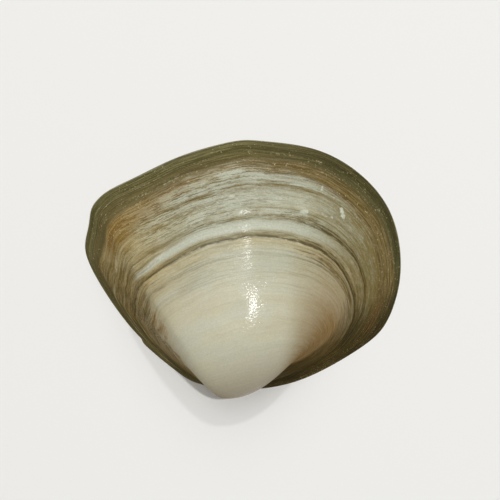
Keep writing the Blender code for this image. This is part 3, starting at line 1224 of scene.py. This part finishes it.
@dataclass(frozen=True)
class WornAragonite:
    """The outer wall: crossed-lamellar aragonite laid down line by line, worn smooth at the umbo.

    The eye sees a silky cream dome, a chalky band full of fine growth lines, and a thin film of
    olive-brown periostracum (the shell's outer skin) that is whole only near the edge. The lines
    that the animal adds in a day or two are a few hundredths of a millimetre apart, too fine to
    show, so they are drawn line_spacing_mm apart. Each row of a set of lines is a growth stage, a
    half width and a strength.
    """

    tip: Colour = srgb("a5987f")
    dome: Colour = srgb("cdcab2")
    dull: Colour = srgb("bfbea8")
    beige: Colour = srgb("beb896")
    chalk: Colour = srgb("b6b8a2")
    white: Colour = srgb("c2c4b0")
    tan: Colour = srgb("76673a")
    olive: Colour = srgb("55502f")
    pale_olive: Colour = srgb("7a734e")
    deep_olive: Colour = srgb("3f3f26")
    brown_skin: Colour = srgb("675a38")
    ochre: Colour = srgb("7c5e2c")
    pale_ochre: Colour = srgb("988150")
    stain: Colour = srgb("86642f")
    brown: Colour = srgb("5f502b")
    thread: Colour = srgb("7a6733")
    olive_thread: Colour = srgb("665f30")
    pale_brown: Colour = srgb("877650")
    pale_gold: Colour = srgb("937a48")
    skirt: Colour = srgb("352e1b")
    rust: Colour = srgb("7a5a34")
    dark: Colour = srgb("463b20")
    cool: Colour = srgb("bfc2b0")
    warm: Colour = srgb("c2b793")
    umbo_tan: Colour = srgb("9c845a")
    # A cream for pale lines and flakes, and for the painted glints.
    glint: Colour = srgb("c2b68e")
    buff: Colour = srgb("b3985b")
    rubbed: Colour = srgb("9a9a80")
    line_spacing_mm: float = 0.19
    bump_mm: float = 0.008
    silk_mm: float = 0.010
    stage_length_mm: float = 25.0
    dark_lines: Rows = (
        (0.6875, 0.007, 1), (0.7005, 0.0035, 0.8), (0.739, 0.0035, 0.55),
    )
    brown_lines: Rows = (
        (0.694, 0.007, 0.9), (0.737, 0.003, 0.8), (0.745, 0.0024, 0.7), (0.752, 0.0028, 0.7),
        (0.764, 0.0025, 0.5), (0.829, 0.0028, 0.8), (0.835, 0.0028, 0.7), (0.842, 0.0035, 0.9),
        (0.893, 0.003, 0.8), (0.908, 0.0022, 0.7),
    )
    front_lines: Rows = (
        (0.64, 0.0025, 0.5), (0.652, 0.0022, 0.6), (0.663, 0.0025, 0.8), (0.674, 0.0025, 0.7),
        (0.739, 0.0075, 0.8), (0.75, 0.003, 0.6), (0.862, 0.0025, 0.5), (0.88, 0.003, 0.8),
        (0.925, 0.0025, 0.5), (0.945, 0.003, 0.6),
    )
    rear_lines: Rows = (
        (0.6, 0.005, 0.35), (0.637, 0.006, 1), (0.665, 0.004, 0.8), (0.715, 0.004, 0.8),
        (0.743, 0.007, 1), (0.766, 0.004, 0.8), (0.785, 0.003, 0.7), (0.87, 0.004, 0.6),
    )
    rear_pale_lines: Rows = (
        (0.62, 0.005, 0.35), (0.682, 0.005, 0.3), (0.755, 0.0045, 0.45), (0.805, 0.008, 0.65),
        (0.85, 0.004, 0.35),
    )
    pale_lines: Rows = (
        (0.68, 0.004, 0.8), (0.815, 0.004, 0.5), (0.902, 0.0025, 0.5), (0.924, 0.003, 1),
        (0.934, 0.0022, 0.7), (0.957, 0.0022, 0.8), (0.976, 0.0018, 0.4),
    )
    keel_lines: Rows = ((0.662, 0.006, 1.0),)

    def patterns(self, finish: Finish) -> SimpleNamespace:
        """Work out the values that all tones are patterned by.

        A small wiggle first breaks up the growth lines, most where the skin has flaked. Most
        noises are stretched along the lines: their scales are per millimetre along them, and
        shares of the line spacing's across them. The sand lies evenly in space, where a scale is
        per metre.

        Args:
            finish: The material.

        Returns:
            The films, sectors, growth stage and noises by name, as sockets.
        """
        add, grain, product, total = finish.add, finish.grain, finish.product, finish.total
        on = SimpleNamespace()
        on.olive, on.ochre, on.brown = finish.field("skin")
        on.dark, on.white, on.flaked = finish.field("wear")
        on.tan, on.skirt, on.stain = finish.field("age")
        on.chip, on.rust, on.spot = finish.field("mark")
        on.front, on.middle, on.rear = finish.field("sector")
        growth = add(Step.FIELD, attribute_name="growth")
        stage = add(Step.DIVIDE, finish.field("growth")[2], self.stage_length_mm)
        on.worn = add(Step.REMAP, stage, 0.60, 0.76)

        slow = add(Step.SUBTRACT, grain(growth, 0.8, 0.20, 1.0), 0.5)
        quick = add(Step.SUBTRACT, grain(growth, 4.0, 1.0, 2.0), 0.5)
        wiggle = product(total((quick, 0.10), (slow, 0.06)), (on.flaked, 0.0, 1.0, 0.25, 0.65))
        on.growth = add(Step.MOVED, growth, add(Step.WHOLE, 0.0, 0.0, wiggle))
        on.stage = add(Step.MULTIPLY_ADD, wiggle, 1.0 / self.stage_length_mm, stage)

        per_mm = 1.0 / self.line_spacing_mm
        on.fine = grain(on.growth, 0.07, per_mm, 3.0)
        on.hair = grain(on.growth, 0.16, 2.1 * per_mm, 2.0)
        on.dash = grain(on.growth, 0.90, 1.6 * per_mm, 4.0)
        on.fleck = grain(on.growth, 1.7, 1.8 * per_mm, 3.0)
        on.broad = grain(on.growth, 0.06, 0.25 * per_mm, 2.0)
        on.patchy = grain(on.growth, 0.45, 0.45 * per_mm, 5.0)
        on.grit = grain(on.growth, 6.0, 1.3 * per_mm, 1.0)
        on.silky = grain(on.growth, 1.5, 1.5 * per_mm, 2.0)
        on.cloud = grain(on.growth, 0.13, 0.55, 2.0)
        on.ragged = grain(on.growth, 3.2, 4.0, 2.0)
        on.sand = grain(add(Step.PLACE), 7500.0, 7500.0, 2.0)

        on.mixed = total((on.fine, 0.35), (on.dash, 0.40), (on.patchy, 0.25))
        on.spotted = total((on.patchy, 0.35), (on.dash, 0.25), (on.hair, 0.40))
        on.lined = total((on.dash, 0.4), (on.hair, 0.6))
        # Painted glints: scattered cream specks that stand for the skin's sparkle.
        on.dots = product((on.grit, 0.84, 1.0, 0.0, 0.5), (on.patchy, 0.4, 0.7, 0.1, 1.0))
        on.torn = add(Step.REMAP, on.patchy, 0.30, 0.70)
        on.flank = add(Step.LARGER, on.front, on.rear)
        on.depth = add(Step.REMAP, on.stage, 0.53, 0.74, 0.03, 0.80)
        on.broken = product(on.depth, (on.flaked, 0.0, 1.0, 0.20, 1.0))
        on.short = product((on.dash, 0.62, 0.71, 0.0, 0.82), on.broken)
        on.pale = add(Step.BLEND, on.rear, self.white, self.glint)
        return on

    def lay_wall(self, finish: Finish, on: SimpleNamespace) -> None:
        """Lay the bare wall: the cream dome, the chalky band and its streaks and threads, the tan
        that is partly painted shade on both flanks, and the white film with a painted sheen on the
        dome.

        Args:
            finish: The material.
            on: What its tones are patterned by.
        """
        add, lay = finish.add, finish.lay
        stages = (0.0, 0.20, 0.42, 0.57, 0.615, 0.648, 0.660, 0.682, 0.692, 0.704, 0.715, 1.0)
        tones = (self.tip, self.dome, self.dull, self.warm, self.beige, self.chalk)
        stops = tuple((at, tones[i // 2]) for i, at in enumerate(stages))
        finish.colour = add(Step.RAMP, on.stage, stops=stops)
        lay(self.buff, on.rear, (on.stage, 0.55, 0.70, 0.0, 0.78))
        lay(self.beige, (on.broad, 0.35, 0.75, 0.0, 0.32), (on.stage, 0.35, 0.50))
        lay(self.cool, (on.cloud, 0.40, 0.90, 0.0, 0.35), (on.stage, 0.28, 0.45))
        lay(self.warm, (on.cloud, 0.10, 0.55, 0.32, 0.0), (on.stage, 0.28, 0.45))

        # The tan film: partly the shell's own tan, partly painted shade on both flanks.
        even_tan = finish.product(on.tan, (on.fine, 0.0, 1.0, 0.65, 0.90))
        torn_tan = add(Step.SUBTRACT, finish.edged(on.tan, on.mixed, 0.5, 1.2), even_tan)
        tan_share = add(Step.MULTIPLY_ADD, torn_tan, on.worn, even_tan)
        lay(add(Step.BLEND, on.worn, self.umbo_tan, self.tan), tan_share)
        lay(self.tan, (on.patchy, 0.40, 0.90, 0.0, 0.50), on.worn)
        lay(on.pale, on.flaked, (on.patchy, 0.15, 0.45, 0.50, 0.0))
        lay(self.tan, (on.fine, 0.55, 0.75, 0.0, 0.7), on.depth)

        thread = add(Step.BLEND, (on.patchy, 0.42, 0.72), self.olive_thread, self.thread)
        lay(thread, on.short)
        lay(on.pale, (on.dash, 0.24, 0.33, 0.6, 0.0), on.broken)
        lay(thread, (on.hair, 0.55, 0.80, 0.0, 0.68), on.depth)
        calm = (on.flank, 0.0, 1.0, 1.0, 0.25)
        lay(on.pale, (on.hair, 0.22, 0.38, 0.42, 0.0), on.depth, calm)
        lay(on.pale, (on.fleck, 0.64, 0.71, 0.0, 0.75), on.broken)
        # The white film, with a painted sheen across the middle of the dome.
        lay(self.white, finish.edged(on.white, on.dash, 0.5, 1.0))

    def lay_films(self, finish: Finish, on: SimpleNamespace) -> None:
        """Lay the thin ochre and brown skin, with painted glints in it, and the stain that has
        soaked in.

        Args:
            finish: The material.
            on: What its tones are patterned by.
        """
        add, lay, edged = finish.add, finish.lay, finish.edged
        amber = add(Step.BLEND, (on.lined, 0.38, 0.64, 1.0, 0.0), self.ochre, self.pale_ochre)
        lay(add(Step.BLEND, on.dots, amber, self.glint), edged(on.ochre, on.spotted, 1.0, 1.2))
        pale = add(Step.BLEND, on.rear, self.pale_brown, self.pale_gold)
        earth = add(Step.BLEND, (on.lined, 0.36, 0.62, 1.0, 0.0), self.brown, pale)
        lay(add(Step.BLEND, on.dots, earth, self.glint), edged(on.brown, on.spotted, 1.0, 1.0))
        torn = add(Step.SUBTRACT, edged(on.stain, on.patchy, 1.0, 0.8), on.stain)
        stained = add(Step.MULTIPLY_ADD, torn, on.rear, on.stain)
        lay(self.stain, stained, (on.lined, 0.30, 0.70, 0.55, 1.0))
        lay(self.brown, on.short, 0.5)

    def lay_lines(self, finish: Finish, on: SimpleNamespace) -> None:
        """Lay the brown and dark lines of the growth checks, and the dark film, which on the front
        slope is partly painted shade.

        Args:
            finish: The material.
            on: What its tones are patterned by.
        """
        lay, lines, product = finish.lay, finish.lines, finish.product
        broken = (on.patchy, 0.0, 0.5, 0.35, 1.0)
        lay(self.thread, lines(on.stage, self.brown_lines), broken, 0.85)
        lay(self.brown, lines(on.stage, self.rear_lines), on.rear, on.torn, 0.6)
        strong = (on.front, 0.0, 1.0, 0.72, 1.3)
        dark = product(lines(on.stage, self.dark_lines), broken, strong)
        at_front = product(lines(on.stage, self.front_lines), on.front)
        dark = product(finish.add(Step.LARGER, dark, at_front), (on.dash, 0.2, 0.55, 0.35, 1.0))
        lay(self.dark, (dark, 0.08, 0.60, 0.0, 0.80))
        # The dark film, which on the front slope and its groove is partly painted shade.
        lay(self.dark, finish.edged(on.dark, on.mixed, 0.9, 1.3))

    def lay_skin(self, finish: Finish, on: SimpleNamespace) -> None:
        """Lay the whole skin near the edge, with painted glints in its dark skirt, then the pale
        lines, painted glint specks and chips over it, and last a painted shade of the fine relief.

        Args:
            finish: The material.
            on: What its tones are patterned by.
        """
        add, lay, edged, lines = finish.add, finish.lay, finish.edged, finish.lines
        skin = add(Step.BLEND, (on.lined, 0.34, 0.72), self.olive, self.pale_olive)
        inner = finish.product((on.stage, 0.925, 0.975, 1.0, 0.0), (on.lined, 0.2, 0.8, 0.9, 0.5))
        skin = add(Step.BLEND, inner, skin, self.brown_skin)
        deep = finish.product(on.front, (on.lined, 0.25, 0.75, 0.92, 0.52))
        skin = add(Step.BLEND, deep, skin, self.deep_olive)
        lay(skin, edged(on.olive, on.lined, 0.9, 0.8))
        skirt = add(Step.BLEND, (on.spotted, 0.42, 0.80), self.skirt, self.brown)
        skirt = add(Step.BLEND, on.dots, skirt, self.pale_brown)
        lay(skirt, edged(on.skirt, on.mixed, 0.8, 0.9))

        dotted = (on.grit, 0.40, 0.75, 0.0, 0.75), (on.patchy, 0.35, 0.65, 0.15, 1.0)
        strength = (on.middle, 0.0, 1.0, 0.35, 0.9)
        lay(self.glint, lines(on.stage, self.pale_lines), *dotted, strength)
        lay(self.glint, lines(on.stage, self.rear_pale_lines), on.rear, on.torn)
        lay(self.glint, lines(on.stage, self.keel_lines), on.skirt)
        # Painted glints: rare cream specks towards the edge.
        glint_specks = (on.grit, 0.97, 1.0, 0.0, 0.65), (on.patchy, 0.35, 0.65, 0.1, 1.0)
        lay(self.glint, *glint_specks, (on.stage, 0.78, 0.88))
        lay(self.rubbed, (on.stage, 0.9955, 0.9985, 0.0, 0.6))
        lay(self.rust, edged(on.rust, on.spotted, 0.9, 1.0))
        lay(self.dark, on.spot)
        lay(on.pale, edged(on.chip, on.ragged, 0.8, 0.6))

        # Painted shade of the fine relief: the growth lines and grain darken and lighten the colour
        # a little.
        uneven = finish.product((on.hair, 0.0, 1.0, 0.90, 1.10), (on.sand, 0.0, 1.0, 0.88, 1.12))
        grey = add(Step.GREY, uneven, uneven, uneven)
        finish.colour = add(Step.TINT, (on.worn, 0.0, 1.0, 0.50, 1.0), finish.colour, grey)

    def polish(self, finish: Finish, on: SimpleNamespace) -> None:
        """Set the gloss: matt chalk, and a silky coat where the wall is bare and faces up.

        Args:
            finish: The material.
            on: What its tones are patterned by.
        """
        add, give, product = finish.add, finish.give, finish.product
        give("IOR", 1.5)
        give("Specular IOR Level", 0.0)
        rough = (on.worn, 0.0, 1.0, 0.40, 0.55)
        off_middle = add(Step.SUBTRACT, on.hair, 0.5)
        give("Roughness", add(Step.MULTIPLY_ADD, off_middle, 0.12, rough))
        covered = add(Step.LARGER, on.skirt, add(Step.LARGER, on.olive, on.stain))
        bare = (add(Step.SUBTRACT, 1.0, covered), 0.0, 1.0, 0.08, 0.90)
        give("Coat Weight", product(bare, (on.flank, 0.0, 1.0, 1.0, 0.08)))
        give("Coat Roughness", 0.16)
        give("Coat IOR", 1.42)
        give("Coat Normal", add(Step.BUMP, 1.0, self.silk_mm * MM, on.silky))
        ridges = finish.total((on.fine, 0.5), (on.hair, 0.5))
        ridges = product(ridges, (on.stage, 0.50, 0.72, 0.08, 1.0))
        gritty = product(on.sand, (on.stage, 0.30, 0.70, 0.10, 0.45))
        relief = add(Step.ADD, ridges, gritty)
        give("Normal", add(Step.BUMP, 1.0, self.bump_mm * MM, relief))

    def build(self) -> bpy.types.Material:
        """Make the material from the valve's own attributes.

        Returns:
            The material.
        """
        finish = Finish("worn_aragonite", self.chalk)
        on = self.patterns(finish)
        for coat in (self.lay_wall, self.lay_films, self.lay_lines, self.lay_skin, self.polish):
            coat(finish, on)
        finish.give("Base Color", finish.colour)
        return finish.material


@dataclass(frozen=True)
class PorcelainLining:
    """The inner wall: dense complex-lamellar aragonite, smooth and glossy as porcelain.

    The eye sees a cream white with a faint rose flush deep under the umbo, and duller muscle marks.
    """

    cream: Colour = srgb("ddd8c8")
    rose: Colour = srgb("d6bfae")
    grey_white: Colour = srgb("cfcdc4")
    scar: Colour = srgb("bdb9ab")
    edge: Colour = srgb("8f8862")
    bump_mm: float = 0.008

    def build(self) -> bpy.types.Material:
        """Make the material from the valve's own attributes.

        Returns:
            The material.
        """
        finish = Finish("porcelain_lining", self.cream)
        add, lay = finish.add, finish.lay
        depth, scar, band = finish.field("lining")
        fine = finish.grain(add(Step.FIELD, attribute_name="growth"), 0.15, 3.0, 3.0)
        cloud = finish.grain(add(Step.PLACE), 220.0, 220.0, 3.0)
        lay(self.rose, finish.edged(depth, cloud, 0.4, 1.2))
        lay(self.grey_white, (cloud, 0.4, 1.0, 0.0, 0.35))
        lay(self.scar, scar, 0.8)
        lay(self.edge, (band, 0.78, 0.97, 0.0, 0.8))
        uneven = add(Step.REMAP, fine, 0.0, 1.0, 0.92, 1.06)
        grey = add(Step.GREY, uneven, uneven, uneven)
        lay(add(Step.TINT, 1.0, finish.colour, grey), band)
        finish.give("Base Color", finish.colour)
        finish.give("IOR", 1.53)
        rough = add(Step.MULTIPLY_ADD, scar, 0.18, (cloud, 0.0, 1.0, 0.20, 0.30))
        finish.give("Roughness", rough)
        relief = finish.total((cloud, 0.5), (fine, band))
        finish.give("Normal", add(Step.BUMP, 1.0, self.bump_mm * MM, relief))
        return finish.material


@dataclass(frozen=True)
class PaintedBoard:
    """The floor: board under a flat pale paint, with no shine."""

    colour: Colour = srgb("f4f3f0")

    def build(self) -> bpy.types.Material:
        """Make the material.

        Returns:
            The material.
        """
        finish = Finish("painted_board", self.colour)
        finish.give("Base Color", self.colour)
        finish.give("Roughness", 0.9)
        finish.give("Specular IOR Level", 0.1)
        return finish.material


# The pieces


@dataclass(frozen=True)
class Lines:
    """The sizes of the growth lines that the outer wall's rings follow."""

    count: int = 176
    smallest: float = 0.02
    fine_count: int = 2000
    crowded_from: float = 0.60
    crowded_rise: float = 0.06
    crowding: float = 1.4
    crowds: Rows = ((1.5, 0.69, 0.02), (1.0, 0.745, 0.012))

    def sizes(self) -> Array:
        """Sizes from 1 down to the smallest, closer together above crowded_from.

        Each of the crowds at the two deepest checks is a strength, a size and a reach.

        Returns:
            The sizes.
        """
        fine = np.linspace(self.smallest, 1.0, self.fine_count)
        rise = smooth_step((fine - self.crowded_from) / self.crowded_rise)
        weight = 1.0 + self.crowding * rise
        weight += sum(more * hump(fine - at, reach) for more, at, reach in self.crowds)
        along = travelled(0.5 * (weight[1:] + weight[:-1]))
        return np.interp(np.linspace(along[-1], 0.0, self.count), along, fine)


@dataclass(frozen=True)
class Interior:
    """Where the inner wall looks different: deep under the umbo, on its marks and at the edge.

    Each muscle mark is its middle in plan, its half length and half width, and the angle of its
    length from +X. The mantle line lies mantle_line_mm from the edge, on the free side only.
    """

    deep_within_mm: float = 11.0
    deep_rise_mm: float = 9.0
    edge_fade_mm: float = 2.0
    muscles_mm: Rows = ((8.6, 1.2, 1.9, 0.95, 1.25), (-9.2, 0.6, 1.5, 1.1, 2.0))
    mantle_line_mm: float = 2.3
    mantle_half_mm: float = 0.16
    mantle_from_mm: float = -1.0
    mantle_rise_mm: float = 2.0
    mantle_strength: float = 0.8

    def marks(self, plan_mm: Array, from_edge: Array) -> Array:
        """The two closing muscles' marks and the line where the mantle was fixed to the shell.

        Args:
            plan_mm: The points in plan.
            from_edge: Their distance from the edge, in millimetres.

        Returns:
            How strongly each point is marked.
        """
        marks = np.zeros(from_edge.shape)
        for x, y, long, wide, angle in self.muscles_mm:
            dx, dy = plan_mm[..., 0] - x, plan_mm[..., 1] - y
            a = (dx * math.cos(angle) + dy * math.sin(angle)) / long
            b = (dy * math.cos(angle) - dx * math.sin(angle)) / wide
            marks = np.maximum(marks, np.exp(-((a * a + b * b) ** 3)))
        free = smooth_step((plan_mm[..., 1] - self.mantle_from_mm) / self.mantle_rise_mm)
        line = hump(from_edge - self.mantle_line_mm, self.mantle_half_mm) * free
        return np.maximum(marks, self.mantle_strength * line)

    def lining(self, plan: Array, beak: Array, from_edge: Array) -> Array:
        """How deep each point lies under the umbo, its mark, and how near it is to the edge.

        Args:
            plan: The inner wall's points in plan, in metres.
            beak: The beak in plan.
            from_edge: Each point's distance from the edge, in millimetres.

        Returns:
            The three shares, on the last axis.
        """
        to_beak = np.linalg.norm(plan - beak, axis=2) / MM
        deep = smooth_step((self.deep_within_mm - to_beak) / self.deep_rise_mm)
        band = np.exp(-from_edge / self.edge_fade_mm)
        return np.stack([deep, self.marks(plan / MM, from_edge), band], axis=-1)


@dataclass
class Valve:
    """The left valve: one closed mesh of outer wall, beak, rim, hinge plate and inner wall."""

    around: int = 400
    relief_fade: float = 3.0 * MM
    sharp_angle: float = math.radians(60.0)
    lines: Lines = field(default_factory=Lines)
    margin: Margin = field(default_factory=Margin)
    spiral: GrowthSpiral = field(default_factory=GrowthSpiral)
    relief: Relief = field(default_factory=Relief)
    ligament: LigamentBand = field(default_factory=LigamentBand)
    plate: HingePlate = field(default_factory=HingePlate)
    hollow: Hollow = field(default_factory=Hollow)
    markings: Markings = field(default_factory=Markings)
    interior: Interior = field(default_factory=Interior)
    outside: WornAragonite = field(default_factory=WornAragonite)
    inside: PorcelainLining = field(default_factory=PorcelainLining)

    def outer_wall(self, edge: Array, size: Array, stage: Array, place: Array) -> Array:
        """The outer wall with its relief, lifted along the smooth wall's normals.

        Args:
            edge: The finished edge in plan.
            size: The sizes of the growth lines.
            stage: The growth stage of each point.
            place: Its place along the edge.

        Returns:
            The points, as an array (size, edge, 3).
        """
        smooth = self.spiral.surface(edge, size)
        normals = grid_normals(smooth)
        away = 1.0 - self.spiral.hinge_share(edge, self.relief_fade)
        wall = smooth + normals * (self.relief.height(stage, place) * away[None, :])[..., None]
        wall = self.ligament.apply(wall, edge, size)
        wall[..., 2] = np.maximum(wall[..., 2], 0.0)
        wall[0, :, 2] = 0.0
        return wall

    def build(self) -> bpy.types.Object:
        """Make the valve, give it its attributes and both finishes, and hang it on the frame.

        Returns:
            The valve's object.
        """
        edge = self.margin.ring(self.around)
        place = np.tile(self.margin.places(edge), (self.lines.count, 1))
        size = self.lines.sizes()
        stage = np.tile(size[:, None], (1, self.around))
        outer = self.outer_wall(edge, size, stage, place)
        sheet = LowestSheet.of(outer)
        rim = self.plate.surface(edge, self.spiral)
        inner, top = self.hollow.surface(rim[-1], edge, sheet)
        inner = np.concatenate([rim, inner])
        beak = outer[-1].mean(axis=0)

        box = np.array(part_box("valve"), dtype=float)
        grids = [outer.reshape(-1, 3), inner.reshape(-1, 3), beak[None], top[None]]
        points = np.vstack(grids)
        middle = 0.5 * (points.min(axis=0) + points.max(axis=0))
        points[:, :2] += 0.5 * (box[0] + box[1])[:2] - middle[:2]
        points = np.clip(points, box[0], box[1])
        faces, is_inner = self.faces(len(outer), len(inner), self.around)

        mesh = bpy.data.meshes.new("tellin_valve")
        mesh.from_pydata(points.tolist(), [], faces)
        mesh.polygons.foreach_set("material_index", is_inner)
        mesh.update()
        self.write_fields(mesh, edge, np.stack([stage, place]), inner)
        mesh.shade_smooth()
        mesh.set_sharp_from_angle(angle=self.sharp_angle)
        mesh.materials.append(self.outside.build())
        mesh.materials.append(self.inside.build())
        valve = in_scene("tellin_valve", mesh)
        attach(valve, "root")
        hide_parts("valve")
        return valve

    @staticmethod
    def faces(outer_rows: int, inner_rows: int, count: int) -> tuple[list[list[int]], Array]:
        """Join the points: the outer rings, the inner rings, the beak and the hollow's middle.

        Args:
            outer_rows: How many outer rings there are.
            inner_rows: How many inner rings there are.
            count: How many points a ring has.

        Returns:
            The faces of the closed mesh, and 1 for each on the inner side.
        """
        here = np.arange(count)
        there = (here + 1) % count

        def band(first: int, second: int) -> Array:
            """Quads between two rings, given by their first points."""
            return np.column_stack([first + here, first + there, second + there, second + here])

        rings = count * np.arange(outer_rows + inner_rows + 1)
        outer = [band(a, b) for a, b in zip(rings[: outer_rows - 1], rings[1:outer_rows])]
        inner = [band(rings[outer_rows], 0)]
        inner += [band(b, a) for a, b in zip(rings[outer_rows:-2], rings[outer_rows + 1 : -1])]
        last, beak = rings[outer_rows - 1], rings[-1]
        beak_fan = np.column_stack([last + here, last + there, np.full(count, beak)])
        last = rings[-2]
        top_fan = np.column_stack([last + there, last + here, np.full(count, beak + 1)])
        faces = np.vstack(outer).tolist() + beak_fan.tolist()
        outside = len(faces)
        faces += np.vstack(inner).tolist() + top_fan.tolist()
        is_inner = np.zeros(len(faces), dtype=np.int32)
        is_inner[outside:] = 1
        return faces, is_inner

    def write_fields(self, mesh: bpy.types.Mesh, edge: Array, outer: Array, inner: Array) -> None:
        """Write the vector attributes that the finishes read.

        growth holds the edge point of the same column and the growth stage, all in millimetres.
        skin, wear, age and mark hold the films, painted shade in wear and age and a painted sheen
        in wear among them, sector the three sectors, and lining the hollow's depth, its marks and
        its edge band.

        Args:
            mesh: The valve's mesh, with its points in the order that faces describes.
            edge: The finished edge in plan.
            outer: The growth stage and place of each outer point, on the first axis.
            inner: The inner points.
        """
        stage, place = outer
        columns = np.tile(edge / MM, (len(stage), 1, 1))
        lines = self.relief.slanted(stage, place) * self.outside.stage_length_mm
        films = self.markings.fields(self.relief.wandering(stage, place), place)
        films["growth"] = np.concatenate([columns, lines[..., None]], axis=2)
        films["sector"] = self.markings.sectors(place)
        films["lining"] = np.zeros(films["growth"].shape)

        from_edge = np.linalg.norm(inner[..., :2] - edge, axis=2) / MM
        columns = np.tile(edge / MM, (len(inner), 1, 1))
        nothing = np.zeros(inner.shape)
        inside = {
            "growth": np.concatenate([columns, from_edge[..., None]], axis=2),
            "lining": self.interior.lining(inner[..., :2], self.spiral.beak, from_edge),
        }
        for name in ("growth", "skin", "wear", "age", "mark", "sector", "lining"):
            grids = (films[name], inside.get(name, nothing))
            ends = [grid[-1].mean(axis=0)[None] for grid in grids]
            values = np.vstack([*(grid.reshape(-1, 3) for grid in grids), *ends])
            attribute = mesh.attributes.new(name, "FLOAT_VECTOR", "POINT")
            attribute.data.foreach_set("vector", values.astype(np.float32).ravel())


@dataclass(frozen=True)
class Lamp:
    """A round soft lamp that looks at the valve from a direction."""

    name: str
    way: tuple[float, float, float]
    far: float
    size: float
    watts: float

    def build(self) -> bpy.types.Object:
        """Make the lamp and turn it to the valve.

        Returns:
            The lamp's object.
        """
        data = bpy.data.lights.new(self.name, "AREA")
        data.shape = "DISK"
        data.size = self.size
        data.energy = self.watts
        lamp = in_scene(self.name, data)
        direction = np.array(self.way) / np.linalg.norm(self.way)
        lamp.location = (direction * self.far).tolist()
        lamp.rotation_euler = lamp.location.to_track_quat("Z", "Y").to_euler()
        return lamp


@dataclass
class Studio:
    """A pale floor, soft light from above and the camera straight over the valve."""

    view_width: float = 41.01 * MM
    view_middle: Pair = (0.578 * MM, 1.565 * MM)
    camera_height: float = 0.60
    floor_size: float = 1.6
    floor_gap: float = 0.02 * MM
    board: PaintedBoard = field(default_factory=PaintedBoard)
    ambient_colour: Colour = srgb("f4f4f2")
    ambient: float = 0.23
    lamps: tuple[Lamp, ...] = (
        Lamp("key", (-0.16, 0.10, 0.98), 0.55, 0.50, 0.65),
        Lamp("spark", (0.28, 0.02, 0.96), 0.55, 0.030, 1.0),
        Lamp("soft", (-0.04, 0.65, 0.75), 0.60, 0.56, 0.75),
        Lamp("glint", (0.10, 0.57, 0.82), 0.60, 0.036, 0.48),
    )

    def camera(self) -> bpy.types.Object:
        """Look straight down with a long lens whose view is view_width wide at the floor.

        Returns:
            The camera's object.
        """
        data = bpy.data.cameras.new("camera")
        data.lens = data.sensor_width * self.camera_height / self.view_width
        data.clip_start = 0.01
        camera = in_scene("camera", data)
        camera.location = (*self.view_middle, self.camera_height)
        bpy.context.scene.camera = camera
        return camera

    def floor(self) -> bpy.types.Object:
        """A wide square just under the valve.

        Returns:
            The floor's object.
        """
        half = 0.5 * self.floor_size
        corners = [(-half, -half), (half, -half), (half, half), (-half, half)]
        mesh = bpy.data.meshes.new("floor")
        mesh.from_pydata([(x, y, -self.floor_gap) for x, y in corners], [], [(0, 1, 2, 3)])
        mesh.materials.append(self.board.build())
        floor = in_scene("floor", mesh)
        return floor

    def surroundings(self) -> bpy.types.World:
        """An even pale grey all round.

        Returns:
            The world.
        """
        world = bpy.data.worlds.new("studio")
        world.use_nodes = True
        background = world.node_tree.nodes["Background"]
        background.inputs["Color"].default_value = self.ambient_colour
        background.inputs["Strength"].default_value = self.ambient
        bpy.context.scene.world = world
        return world

    def build(self) -> None:
        """Make the camera, the floor and the light."""
        self.camera()
        self.floor()
        self.surroundings()
        for lamp in self.lamps:
            lamp.build()
        bpy.context.scene.view_settings.view_transform = "Standard"


def main() -> None:
    """Build the valve and the studio around it."""
    logging.basicConfig(level=logging.INFO, format="%(name)s: %(message)s")
    valve = Valve().build()
    LOG.info("%s: %d faces", valve.name, len(valve.data.polygons))
    Studio().build()
    LOG.info("studio: floor, four lamps and the camera")


if __name__ == "__main__":
    main()
